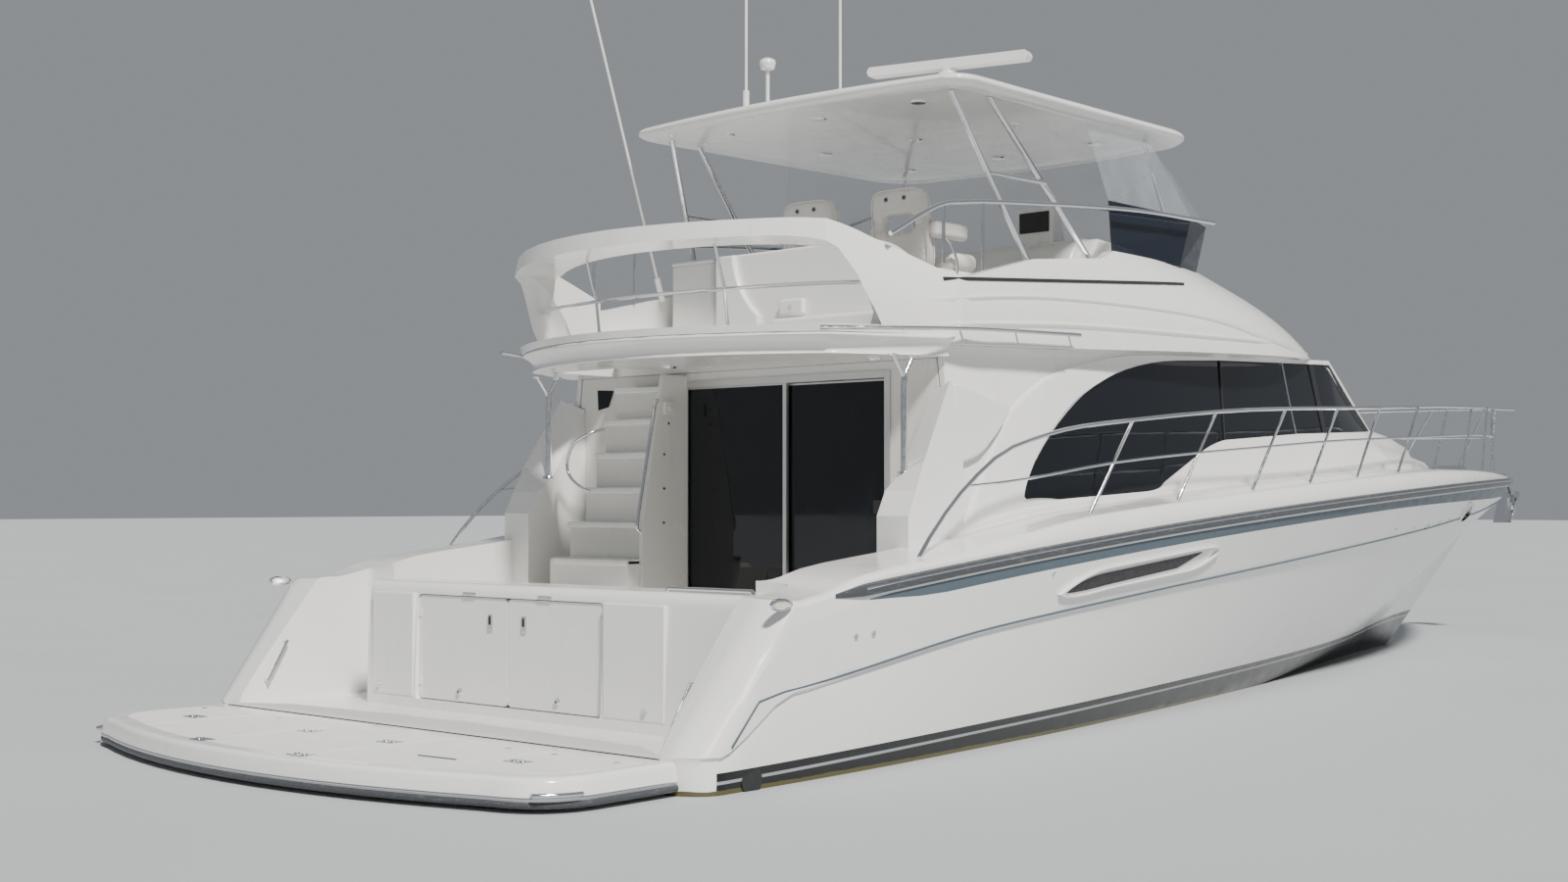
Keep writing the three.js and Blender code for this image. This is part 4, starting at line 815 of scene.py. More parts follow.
class YACHT_OT_hull(Operator):
    """The hull: topsides with knuckle and painted bands, bottom, decks, wells and stern recess"""

    bl_idname = "yacht.hull"
    bl_label = "Hull"

    def execute(self, context):
        rows = [hull_row(x) for x in hull_stations()]
        bm = bmesh.new()
        skin(bm, rows)
        obj = mesh_object("hull_skin", bm, paint("hull"), paint("stripe"), paint("nonskid"))
        self.mark_bands(obj)
        wells = [
            box_cutter((STERN_X - 0.8, -RECESS_HALF, SILL_Z), (WALL_FORE_X, RECESS_HALF, 2.2), 0.05, 2),
            box_cutter((WALL_FORE_X - 0.001, -COCKPIT_HALF, COCKPIT_SOLE_Z),
                       (BULKHEAD_X + 0.0803, COCKPIT_HALF, 2.2), 0.12, 2),
            cutter(saloon_outline(), SALOON_SOLE_Z - 0.04, 2.6, "z"),
            cutter(outline((-1.25, SALOON_SOLE_Z), (-1.25, -0.12), (-1.0, -0.25), (1.0, -0.25),
                           (1.25, -0.12), (1.25, SALOON_SOLE_Z)), 3.4, 5.8, "x"),
        ]
        for well in wells:
            cut(obj, well)
        soften(obj, 0.008, 2, 40)
        finish(obj, "boat", ["hull"], angle=30)
        return {"FINISHED"}

    def mark_bands(self, obj):
        """Gives the dark band under the rail its paint, a stripe that is also painted shadow and reflection
        under the rail's overhang.
        """
        for face in obj.data.polygons:
            x, y, z = face.center
            if x < BAND_START_X - 0.2 and z > 0.6:
                continue
            on_band = stripe_low_z(x) < z < rub_z(x) - RAIL_REACH and x > BAND_START_X
            if on_band and abs(y) > 0.02 and abs(face.normal.z) < 0.85:
                face.material_index = 1


def side_frame(bm, line, side, height, depth, width):
    """A raised frame on the hull's side round an outline of (x, z), and a sunk face inside it."""
    middle = sum(line, Vector((0, 0))) / len(line)
    loops = []
    for inset, out in ((0.0, -0.004), (0.15 * width, height), (width, height), (width * 1.15, -depth)):
        ring = []
        for point in line:
            inward = (middle - point).normalized() * inset
            x, z = point + Vector((inward.x, inward.y))
            ring.append(bm.verts.new((x, side * (hull_half(x, z) + out), z)))
        loops.append([bm.edges.new((a, b)) for a, b in zip(ring, ring[1:] + ring[:1])])
    for outer, inner in zip(loops, loops[1:]):
        bmesh.ops.bridge_loops(bm, edges=outer + inner)
    return bmesh.ops.contextual_create(bm, geom=loops[-1])["faces"]


def side_fitting(name, line, side, height, depth, width, surface):
    """A side frame as a piece; a depth below 0 stands the inner face out of the hull."""
    bm = bmesh.new()
    side_frame(bm, line, side, height, depth, width)
    bmesh.ops.recalc_face_normals(bm, faces=bm.faces)
    piece(name, bm, surface)


def oval(centre, half_x, half_z, sides):
    return [Vector((centre[0] + half_x * math.cos(a), centre[1] + half_z * math.sin(a)))
            for a in (k * math.tau / sides for k in range(sides))]


class YACHT_OT_rub_rails(Operator):
    """The rubbing rails along both sides: dark vinyl with a stainless half-round"""

    bl_idname = "yacht.rub_rails"
    bl_label = "Rubbing rails"

    def execute(self, context):
        stations = [0.86 + k * 0.24 for k in range(62)] + [BOW_X - 0.11]
        profile = ((0.0, -0.038), (0.024, -0.03), (0.032, -0.014), (0.034, 0.0), (0.032, 0.014),
                   (0.024, 0.03), (0.0, 0.038))
        for name, side in SIDES:
            rows = []
            for x in stations:
                grown = smooth(x, 0.8, 1.15)
                rows.append([(x, side * (sheer_half(x) + out * grown), rub_z(x) + z * (0.3 + 0.7 * grown))
                             for out, z in profile])
            piece("rub_strip_" + name, skin(bmesh.new(), rows), "rub", nodes=["rub_rail_" + name])
            bm = bmesh.new()
            line = [(x, side * (sheer_half(x) + 0.0245), rub_z(x) + 0.01) for x in stations[1:]]
            pipe(bm, line, 0.0095, 12, smoothed=False)
            piece("rub_steel_" + name, bm, "steel")
        return {"FINISHED"}


# x and z on the hull's side
DOCKING_LIGHT = (0.406, 0.997)
PORTHOLE = (10.9, 1.44)
EXHAUST = (0.24, 0.056)
# Through-hull outlets: x, z, radius
OUTLETS = (
    (1.06, 0.79, 0.022), (1.22, 0.8, 0.022), (3.02, 1.1, 0.014), (8.6, 1.32, 0.014),
    (9.1, 1.33, 0.012), (9.5, 1.35, 0.026), (9.9, 1.37, 0.02), (10.25, 1.39, 0.014),
)


class YACHT_OT_hull_fittings(Operator):
    """What sits in the hull's sides: air intakes, portholes, docking lights, outlets and exhausts"""

    bl_idname = "yacht.hull_fittings"
    bl_label = "Hull fittings"

    def execute(self, context):
        for name, side in SIDES:
            self.intake(name, side)
            self.porthole(name, side)
            self.docking_light(name, side)
            self.outlets(name, side)
            self.knuckle_shadow_line(name, side)
        return {"FINISHED"}

    def knuckle_shadow_line(self, name, side):
        """The thin dark line that runs along the top of the knuckle's step: painted shadow of the step."""
        line = []
        for k in range(76):
            x = 0.06 + 0.2 * k
            z = knuckle_z(x) + KNUCKLE_STEP
            line.append((x, side * (hull_half(x, z + 0.001) + 0.001), z))
        piece("knuckle_shadow_line_" + name, pipe(bmesh.new(), line, 0.0075, 8, smoothed=False), "stripe")

    def intake(self, name, side):
        frame_line = outline(
            (3.12, 0.955), (3.36, 1.08, 3.62, 1.115), (4.9, 1.225), (5.22, 1.25, 5.17, 1.19),
            (5.0, 1.07, 4.72, 1.055), (3.7, 0.97), (3.16, 0.9, 3.12, 0.955), steps=6)
        side_fitting("intake_frame_" + name, frame_line, side, 0.03, 0.012, 0.045, "gelcoat")
        # The slot's black face, stood a little out of the hull, is painted shade of the intake's opening.
        slot_line = outline(
            (3.21, 0.965), (3.42, 1.055, 3.64, 1.078), (4.70, 1.172), (4.93, 1.195),
            (4.62, 1.088), (3.7, 0.998), (3.24, 0.948, 3.21, 0.965), steps=5)
        side_fitting("intake_slot_" + name, slot_line, side, 0.009, -0.008, 0.01, "black")

    def porthole(self, name, side):
        rim, glass = oval(PORTHOLE, 0.19, 0.105, 28), oval(PORTHOLE, 0.158, 0.073, 28)
        side_fitting("porthole_rim_" + name, rim, side, 0.024, 0.02, 0.03, "steel")
        side_fitting("porthole_glass_" + name, glass, side, 0.008, -0.007, 0.006, "glass")

    def docking_light(self, name, side):
        rim, lens = oval(DOCKING_LIGHT, 0.085, 0.036, 24), oval(DOCKING_LIGHT, 0.072, 0.024, 24)
        side_fitting("docking_rim_" + name, rim, side, 0.016, 0.004, 0.014, "steel")
        side_fitting("docking_lens_" + name, lens, side, 0.009, -0.008, 0.006, "lens")

    def outlets(self, name, side):
        """Small round outlets with their flanges, and the exhaust at the waterline."""
        bm = bmesh.new()
        for x, z, radius in OUTLETS:
            y = side * hull_half(x, z)
            rod(bm, (x, y - side * 0.01, z), (x, y + side * 0.008, z), radius, radius * 0.8, 20)
            rod(bm, (x, y, z), (x, y + side * 0.012, z), radius * 0.5, radius * 0.45, 16)
        piece("outlets_" + name, bm, "steel")
        bm = bmesh.new()
        x, z = EXHAUST
        rod(bm, (x, side * 2.2, z), (x, side * (hull_half(x, z) + 0.006), z), 0.08, None, 28)
        piece("exhaust_" + name, bm, "black")


# Stern


PLATFORM = {"aft": -1.53, "corner": -1.15, "half": 2.27, "low": 0.02, "high": 0.185}


def platform_outline(inset):
    aft, corner, half = PLATFORM["aft"] + inset, PLATFORM["corner"] + inset, PLATFORM["half"] - inset
    fore = STERN_X - 0.0003
    return outline(
        (fore, -half + 0.03), (corner + 0.35, -half), (corner, -half, corner - 0.06, -half + 0.38),
        (2 * aft - corner + 0.06, 0, corner - 0.06, half - 0.38),
        (corner, half, corner + 0.35, half), (fore, half - 0.03), steps=14)


def plan_rows(shape, levels):
    """Rows of a plan outline at (z, inset) levels."""
    return [[(p.x, p.y, z) for p in shape(inset)] for z, inset in levels]


class YACHT_OT_swim_platform(Operator):
    """The swim platform: moulded slab, tread panels, rub strip, chock sockets and grab handle"""

    bl_idname = "yacht.swim_platform"
    bl_label = "Swim platform"

    def execute(self, context):
        low, high = PLATFORM["low"], PLATFORM["high"]
        levels = [(low, 0.05), (low + 0.02, 0.02), (low + 0.05, 0.012), (low + 0.075, 0.012),
                  (high - 0.03, 0.022), (high - 0.012, 0.03), (high - 0.003, 0.042), (high, 0.06)]
        slab = skin(bmesh.new(), plan_rows(platform_outline, levels))
        piece("platform_slab", slab, "gelcoat", nodes=["swim_platform"])
        self.strip()
        self.panels(high)
        self.fittings(high)
        return {"FINISHED"}

    def strip(self):
        """The dark rub strip round the platform's edge, with a stainless line above it."""
        z = PLATFORM["low"]
        for name, surface, height, radius, inset in (
                ("platform_strip", "rub", z + 0.028, 0.020, 0.022),
                ("platform_steel", "steel", z + 0.058, 0.008, 0.013)):
            line = [(p.x, p.y, height) for p in platform_outline(inset)]
            piece(name, pipe(bmesh.new(), line, radius, 12, smoothed=False), surface)

    def panels(self, high):
        """Raised tread panels, parted by smooth channels."""
        tread = mesh_object(
            "platform_tread", prism(bmesh.new(), platform_outline(0.13), high - 0.01, high + 0.0015, "z"),
            paint("nonskid"))
        below, above, channel = high - 0.02, high + 0.02, 0.012
        for y in (-1.42, -0.5, 0.5, 1.42):
            cut(tread, box_cutter((-1.6, y - channel, below), (-0.2, y + channel, above)))
        cut(tread, box_cutter((-0.33, -2.4, below), (0.0, 2.4, above)))
        finish(tread, "boat")

    def fittings(self, high):
        """Chock sockets, grab handles let into the corners, and the seam along the hull."""
        bm = bmesh.new()
        for x, y in ((-0.75, 1.6), (-0.7, 0.4), (-0.7, -0.4), (-1.36, 0.5), (-1.36, -0.5), (-0.75, -1.6)):
            soft_block(bm, (x - 0.05, y - 0.07, high - 0.004), (x + 0.05, y + 0.07, high + 0.005), 0.004)
            for hole_y in (y - 0.035, y + 0.035):
                rod(bm, (x, hole_y, high + 0.004), (x, hole_y, high + 0.009), 0.02, 0.018, 18)
        piece("chock_sockets", bm, "steel")
        bm = bmesh.new()
        for side in (-1, 1):
            bends = ((-0.88, 2.235), (-0.90, 2.268), (-1.0, 2.245), (-1.11, 2.17), (-1.1, 2.13))
            pipe(bm, [(x, side * y, high - 0.085) for x, y in bends], 0.013, 12)
        pipe(bm, [(-0.971, -1.029, high + 0.003), (-0.944, -1.325, high + 0.003)], 0.007, 8, smoothed=False)
        piece("platform_handle", bm, "steel")
        bm = bmesh.new()
        for y in (-2.02, -1.52, -1.13, 1.13, 1.52, 2.02):
            rod(bm, (-0.43, y, high - 0.002), (-0.43, y, high + 0.004), 0.022, 0.02, 18)
        piece("platform_caps", bm, "steel")
        bm = bmesh.new()
        seam_x, seam_z = STERN_X - 0.012, high + 0.001
        pipe(bm, [(seam_x, -2.1, seam_z), (seam_x, 2.1, seam_z)], 0.005, 8, smoothed=False)
        piece("platform_seam", bm, "black")


# A locker door's leaf: x, half-breadth and z ranges; then the z of its hinges
LEAF_X, LEAF_HALF, LEAF_Z = (0.488, 0.516), (0.0025, 0.905), (0.265, 0.945)
HINGES_Z = (0.38, 0.83)


class YACHT_OT_transom(Operator):
    """The wall between platform and cockpit with its locker doors and gate"""

    bl_idname = "yacht.transom"
    bl_label = "Transom wall"

    def execute(self, context):
        profile = outline(
            (WALL_X - 0.026, SILL_Z), (WALL_FORE_X, SILL_Z), (WALL_FORE_X, WALL_TOP_Z - 0.05),
            (WALL_FORE_X, WALL_TOP_Z, WALL_FORE_X - 0.05, WALL_TOP_Z), (WALL_X + 0.07, WALL_TOP_Z),
            (WALL_X + 0.005, WALL_TOP_Z - 0.005, WALL_X, WALL_TOP_Z - 0.08),
            (WALL_X - 0.022, 0.6, WALL_X - 0.026, SILL_Z), steps=8)
        wall = mesh_object("transom_wall_skin", prism(bmesh.new(), profile, -RECESS_HALF, 1.44, "y"),
                           paint("gelcoat"))
        cut(wall, box_cutter((WALL_X - 0.2, -0.91, 0.26), (0.82, 0.91, 0.95), 0.03, 0))
        soften(wall, 0.008, 2, 35)
        finish(wall, "boat", ["transom_wall"])
        self.panels()
        for name, side in SIDES:
            self.door(name, side)
        dressed("gate", "gelcoat", "transom_gate", "gate", width=0.006)
        self.hardware()
        return {"FINISHED"}

    def panels(self):
        """Flat moulded panels to either side of the doors."""
        bm = bmesh.new()
        for y0, y1 in ((-1.46, -0.93), (0.93, 1.38)):
            soft_block(bm, (WALL_X - 0.03, y0, 0.27), (WALL_X + 0.02, y1, 0.955), 0.01)
        piece("transom_panels", bm, "gelcoat")

    def door(self, name, side):
        body = "locker_door_" + name
        y0, y1 = mirrored(side, *LEAF_HALF)
        hinge_y, plate_y, latch_y, pull_y = (side * half for half in (0.9053, 0.89, 0.165, 0.48))
        bm = bmesh.new()
        block(bm, (LEAF_X[0], y0, LEAF_Z[0]), (LEAF_X[1], y1, LEAF_Z[1]))
        bevel(bm, [e for e in bm.edges if along_axis(e, 0)], 0.035, 6, clamped=False)
        for z in HINGES_Z:
            rod(bm, (0.484, hinge_y, z - 0.03), (0.484, hinge_y, z + 0.03), 0.0044, None, 16)
            soft_block(bm, (0.4835, plate_y - 0.012, z - 0.03), (0.492, plate_y + 0.012, z + 0.03), 0.002)
        piece("locker_leaf_" + name, bm, "gelcoat", body, [body], soft=(0.004, 2, 50))
        bm = bmesh.new()
        soft_block(bm, (0.477, latch_y - 0.024, 0.74), (0.489, latch_y + 0.024, 0.84), 0.012, 4)
        rod(bm, (0.474, pull_y, 0.33), (0.489, pull_y, 0.33), 0.018, 0.024, 18)
        piece("locker_latch_" + name, bm, "steel", body)
        # Black pieces on the latch and in the pull: painted shade of their recesses.
        bm = bmesh.new()
        soft_block(bm, (0.475, latch_y - 0.012, 0.775), (0.480, latch_y + 0.012, 0.83), 0.006, 3)
        soft_block(bm, (0.473, pull_y - 0.008, 0.322), (0.476, pull_y + 0.008, 0.338), 0.004, 3)
        piece("latch_recess_shade_" + name, bm, "black", body)

    def hardware(self):
        bm = bmesh.new()
        for y in (-0.37, 0.37):
            soft_block(bm, (WALL_X - 0.008, y - 0.065, 0.953), (WALL_X + 0.03, y + 0.065, 0.975), 0.004)
        for y in (-1.3, 1.3):
            rod(bm, (WALL_X - 0.042, y, 0.33), (WALL_X - 0.02, y, 0.33), 0.02, 0.024, 18)
        piece("transom_hinges", bm, "steel")
        bm = bmesh.new()
        rail = [(0.62, -2.02, WALL_TOP_Z - 0.005), (0.62, -2.0, WALL_TOP_Z + 0.018),
                (0.62, -1.33, WALL_TOP_Z + 0.018), (0.62, -1.31, WALL_TOP_Z - 0.005)]
        pipe(bm, rail, 0.014, 12, smoothed=False)
        pipe(bm, [(0.885, 1.495, 0.43), (0.85, 1.495, 0.443), (0.85, 1.495, 0.963), (0.885, 1.495, 0.975)],
             0.016, 12, smoothed=False)
        piece("transom_rails", bm, "steel")
        bm = bmesh.new()
        pipe(bm, [(-0.02, -2.045, 0.34), (-0.02, -2.015, 0.34), (0.12, -2.01, 0.56), (0.12, -2.045, 0.56)],
             0.011, 12, smoothed=False)
        pipe(bm, [(0.05, 2.045, 0.34), (0.05, 2.01, 0.34), (0.2, 2.01, 0.6), (0.2, 2.045, 0.6)],
             0.011, 12, smoothed=False)
        piece("wing_handles", bm, "steel")


# z, nose x, port half-breadth, overhang
STAIR_TREADS = (
    (0.64, 1.78, 1.56, 0.0), (0.893, 1.92, 1.52, 0.0), (1.146, 2.06, 1.47, 0.0),
    (1.408, 2.238, 1.50, 0.07), (1.662, 2.281, 1.37, 0.07), (1.918, 2.325, 1.31, 0.07),
    (2.162, 2.37, 1.26, 0.07), (2.40, 2.42, 1.19, 0.07),
)
# Buttress: outer face x, z and half-breadth, then inner face x and z
FIN_EDGES = (
    (2.065, COCKPIT_SOLE_Z, 1.965, 2.083, COCKPIT_SOLE_Z), (2.074, 1.469, 1.965, 2.083, 1.468),
    (2.15, 1.625, 1.962, 2.167, 1.629), (2.245, 1.817, 1.955, 2.316, 1.74),
    (2.575, 2.342, 1.905, 2.636, 2.262), (BULKHEAD_X - 0.001, 2.326, 1.90, BULKHEAD_X - 0.001, 2.27),
    (BULKHEAD_X - 0.001, 1.817, 1.955, BULKHEAD_X - 0.001, 1.74),
    (BULKHEAD_X - 0.001, COCKPIT_SOLE_Z, 1.965, BULKHEAD_X - 0.001, COCKPIT_SOLE_Z),
)


POLE_X, POLE_HALF = 2.31, 1.74


class YACHT_OT_cockpit(Operator):
    """Cockpit: sole tread, stairs, corner buttresses, poles and the aft bulkhead"""

    bl_idname = "yacht.cockpit"
    bl_label = "Cockpit"

    def execute(self, context):
        self.stairs()
        self.stair_rails()
        dressed("bulkhead_panel", "sheltered", "aft_bulkhead", width=0.006)
        self.bulkhead_gear()
        for name, side in SIDES:
            self.fin(name, side)
            self.pole(name, side)
        bm = bmesh.new()
        soft_block(bm, (0.93, -1.84, COCKPIT_SOLE_Z - 0.01), (1.85, 1.84, COCKPIT_SOLE_Z + 0.002), 0.002, 1)
        soft_block(bm, (1.88, -1.6, COCKPIT_SOLE_Z - 0.01), (2.62, 0.52, COCKPIT_SOLE_Z + 0.002), 0.002, 1)
        piece("cockpit_tread", bm, "nonskid")
        return {"FINISHED"}

    def stairs(self):
        """Steps behind a side panel: each of the upper treads overhangs its riser."""
        foot, fore = COCKPIT_SOLE_Z + 0.0003, BULKHEAD_X - 0.0003
        bm = bmesh.new()
        cheek = outline((2.195, foot), (2.195, 1.4), (2.36, 2.29), (2.4, 2.48), (fore, 2.48), (fore, foot))
        prism(bm, cheek, 0.575, 0.615, "y")
        for z, x, y1, lip in STAIR_TREADS:
            block(bm, (x + max(lip, 0.025), 0.61, foot), (fore, y1 - 0.015, z - 0.01))
        piece("stairs_moulding", bm, "sheltered", nodes=["cockpit_stairs"], soft=(0.006, 2, 40))
        bm = bmesh.new()
        for z, x, y1, _ in STAIR_TREADS:
            nose = outline((fore, 0.61), (x + 0.02, 0.61), (x, 0.61, x, 0.66), (x, y1 - 0.12),
                           (x, y1, x + 0.12, y1), (fore, y1), steps=6)
            prism(bm, nose, z - 0.045, z, "z")
        piece("stair_treads", bm, "gelcoat", soft=(0.012, 3, 40))
        bm = bmesh.new()
        for z, x, y1, _ in STAIR_TREADS[:-1]:
            soft_block(bm, (x + 0.03, 0.66, z - 0.01), (x + 0.20, y1 - 0.07, z + 0.002), 0.002, 1)
        piece("stair_grip", bm, "nonskid")

    def stair_rails(self):
        bm = bmesh.new()
        pipe(bm, [(2.20, 0.598, 1.335), (2.165, 0.598, 1.37), (2.176, 0.598, 1.47)], 0.012, 12)
        pipe(bm, [(2.176, 0.598, 1.47), (2.325, 0.596, 2.22)], 0.012, 12, smoothed=False)
        pipe(bm, [(2.325, 0.596, 2.22), (2.337, 0.594, 2.275), (2.37, 0.59, 2.292), (2.41, 0.585, 2.28)],
             0.012, 12)
        pipe(bm, [(2.39, 1.2, 2.10), (2.27, 1.24, 2.06), (2.25, 1.381, 1.987), (2.25, 1.455, 1.851),
                  (2.25, 1.41, 1.733), (2.27, 1.25, 1.64), (2.39, 1.2, 1.62)], 0.012, 12)
        piece("stair_rails", bm, "steel")

    def bulkhead_gear(self):
        """Switch panel and studs on the stairs' side panel, a small window and a soffit lamp."""
        bm = bmesh.new()
        soft_block(bm, (2.395, 0.552, 2.187), (2.509, 0.577, 2.28), 0.006)
        soft_block(bm, (2.43, 0.546, 2.215), (2.475, 0.556, 2.25), 0.004)
        piece("switch_panel", bm, "sheltered")
        bm = bmesh.new()
        for x, z in ((2.402, 1.899), (2.402, 1.652), (2.398, 1.405), (2.445, 2.125)):
            rod(bm, (x, 0.576, z), (x, 0.566, z), 0.013, 0.010, 16)
        for x, y in ((2.45, -1.38), (2.1, 0.2)):
            rod(bm, (x, y, SOFFIT_Z + 0.001), (x, y, SOFFIT_Z - 0.012), 0.05, 0.045, 28)
        piece("cockpit_studs", bm, "steel")
        pane = outline((1.56, 2.41), (1.375, 2.40), (1.43, 2.277), (1.55, 2.255))
        glass = prism(bmesh.new(), pane, BULKHEAD_X - 0.006, BULKHEAD_X - 0.0003, "x")
        piece("quarter_pane", glass, "glass", soft=(0.002, 1, 30))

    def fin(self, name, side):
        """The faceted buttress, with the raised panel that carries it on to the house side."""
        bm = bmesh.new()
        outer = [(x, side * y, z) for x, z, y, _, _ in FIN_EDGES]
        inner = [(x, side * 1.70, z) for _, _, _, x, z in FIN_EDGES]
        skin(bm, [inner, outer])
        body = mesh_object("buttress_" + name, bm, paint("gelcoat"))
        y = side * POLE_HALF
        socket = rod(bmesh.new(), (POLE_X, y, 1.735), (POLE_X, y, 2.5), 0.0246, None, 24)
        cut(body, mesh_object("cutter", socket))
        soften(body, 0.022, 3, 12)
        finish(body, "boat", ["side_fin_" + name], angle=30)
        line = outline((2.60, 2.335), (3.16, 2.225), (3.235, 2.205, 3.20, 2.14), (3.12, 2.03, 2.98, 1.93),
                       (2.9, 1.84, 2.64, 1.80), (2.60, 1.80), steps=6)
        low, high = mirrored(side, 1.80, 1.925)
        panel = prism(bmesh.new(), line, low, high, "y")
        piece("buttress_panel_" + name, panel, "gelcoat", soft=(0.03, 4, 40))

    def pole(self, name, side):
        """The overhang's pole with its foot and the fork at its head."""
        y, foot_z = side * POLE_HALF, 1.7403
        head_z = SOFFIT_Z - 0.0003
        bm = bmesh.new()
        rod(bm, (POLE_X, y, foot_z), (POLE_X, y, 2.36), 0.022, None, 24)
        rod(bm, (POLE_X, y, foot_z), (POLE_X, y, 1.752), 0.045, 0.04, 24)
        for x in (2.20, 2.40):
            pipe(bm, [(POLE_X, y, 2.33), (mix(POLE_X, x, 0.15), y, 2.38), (x, y, head_z)], 0.016, 14)
            rod(bm, (x, y, 2.488), (x, y, head_z), 0.03, 0.035, 20)
        piece("pole_" + name, bm, "steel", nodes=["overhang_pole_" + name])


def door_frame(low, high, stile, head):
    """The bars of an aluminium frame: stiles and foot of one width, and the head."""
    y0, y1, z0, z1 = low.y + stile, high.y - stile, low.z + stile, high.z - head
    bm = bmesh.new()
    for left, right, foot, top in (
            (low.y, y0, low.z, high.z), (y1, high.y, low.z, high.z), (y0, y1, low.z, z0),
            (y0, y1, z1, high.z)):
        soft_block(bm, (low.x, left, foot), (high.x, right, top), 0.003, 2)
    return bm


class YACHT_OT_saloon_doors(Operator):
    """The glazed saloon doors in their frame, with curtains behind"""

    bl_idname = "yacht.saloon_doors"
    bl_label = "Saloon doors"

    def execute(self, context):
        leaves = (("fixed", "fixed_door_leaf", "boat"), ("sliding", "sliding_door_leaf", "door"))
        for name, node, body in leaves:
            low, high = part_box(node)
            self.leaf(name, node, body, low, high)
        self.surround()
        self.curtain("curtain_port", -0.33, 0.6)
        self.curtain("curtain_stbd", -1.28, -0.35)
        return {"FINISHED"}

    def leaf(self, name, node, body, low, high):
        """A slim aluminium frame round one dark pane; its head runs in the track."""
        stile, head, x0 = 0.034, 0.012, low.x
        bars = mesh_object("leaf_frame_" + name, door_frame(low, high, stile, head), paint("aluminium"))
        finish(bars, body, [node])
        bm = bmesh.new()
        soft_block(bm, (x0 + 0.009, low.y + stile - 0.004, low.z + stile - 0.004),
                   (x0 + 0.019, high.y - stile + 0.004, high.z - head + 0.004), 0.001, 1)
        piece("leaf_pane_" + name, bm, "door_glass", body)
        if body == "door":
            bm = bmesh.new()
            y = low.y + 0.022
            for z0, z1 in ((1.47, 1.57), (1.605, 1.632)):
                soft_block(bm, (x0 - 0.022, y - 0.012, z0), (x0 + 0.002, y + 0.012, z1), 0.005)
            soft_block(bm, (x0 - 0.03, y - 0.01, 1.478), (x0 - 0.018, y + 0.09, 1.566), 0.004)
            piece("door_pull", bm, "black", body)

    def surround(self):
        """The aluminium frame round the whole opening, on the bulkhead's aft face."""
        low = Vector((BULKHEAD_X - 0.012, -1.35, 0.525))
        high = Vector((BULKHEAD_X - 0.0004, 0.67, 2.44))
        piece("door_surround", door_frame(low, high, 0.05, 0.05), "aluminium")

    def curtain(self, name, y0, y1):
        """A gathered curtain hanging inside the glass."""
        width, top, low, folds, deep, middle_x = y1 - y0, 2.37, 0.62, 15, 0.018, 2.80
        columns, steps_down = 180, 24
        rows = []
        for i in range(columns + 1):
            t = i / columns
            x = middle_x + deep * math.sin(t * folds * math.tau)
            rows.append([(x, y0 + width * t, mix(top, low, j / steps_down)) for j in range(steps_down + 1)])
        bm = bmesh.new()
        skin(bm, rows, closed=False, capped=False)
        obj = mesh_object(name, bm, paint("curtain"))
        finish(obj, "boat")


# Deckhouse


LIP_LINE = ((2.4, 2.575), (4.3, 2.64), (5.5, 2.69), (7.5, 2.76), (8.77, 2.815), (9.6, 2.85))
# x, top half-breadth (0 where it follows the side), top z
HOUSE_STATIONS = (
    (2.65, 0, 2.583), (4.0, 0, 2.628), (5.4, 0, 2.685), (6.8, 0, 2.735), (7.8, 0, 2.77), (8.55, 0, 2.8),
    (9.62, 1.34, 2.235), (10.5, 1.13, 2.19), (11.4, 0.86, 2.12), (12.2, 0.56, 2.0), (12.8, 0.3, 1.85),
)
ROOF_FORE_X = 8.55
TRUNK_FORE_X = 12.8
# What the cutters of the openings span: half-breadths of the side windows, z of the windscreen
SIDE_SPAN, SCREEN_Z = (1.0, 2.4), (2.15, 3.1)
# The raised band aft of the window: outer edge x and z, then inner edge x and z
WINDOW_ARCH = (
    (2.66, 1.30, 3.33, 1.50), (2.78, 1.52, 3.365, 1.58), (2.92, 1.72, 3.43, 1.70), (3.26, 2.12, 3.63, 1.92),
    (3.66, 2.36, 3.97, 2.18), (4.04, 2.49, 4.32, 2.355), (4.84, 2.63, 4.97, 2.56), (5.6, 2.675, 5.65, 2.645),
    (6.3, 2.705, 6.3, 2.685),
)
HATCH = {"x0": 9.9, "x1": 10.42, "half": 0.26, "wall": 0.028, "z1": 2.29, "lid": 0.024}


def house_half(x, z):
    run = max(0.0, (x - 2.65) / 6.65)
    return 1.95 - 0.33 * run**1.8 - 0.12 * (z - 1.2)


def foot_half(x):
    if x < 9.3:
        return house_half(x, 1.5)
    return house_half(9.3, 1.5) * (1 - ((x - 9.3) / 4.2) ** 1.6)


def house_top(x):
    """Top half-breadth and height of the house at a station."""
    rows = HOUSE_STATIONS
    i = 0
    while i < len(rows) - 2 and rows[i + 1][0] < x:
        i += 1
    a, b = rows[i], rows[i + 1]
    t = min(1.0, max(0.0, (x - a[0]) / (b[0] - a[0])))
    half_a = a[1] or house_half(a[0], a[2])
    half_b = b[1] or house_half(b[0], b[2])
    return mix(half_a, half_b, t), mix(a[2], b[2], t)


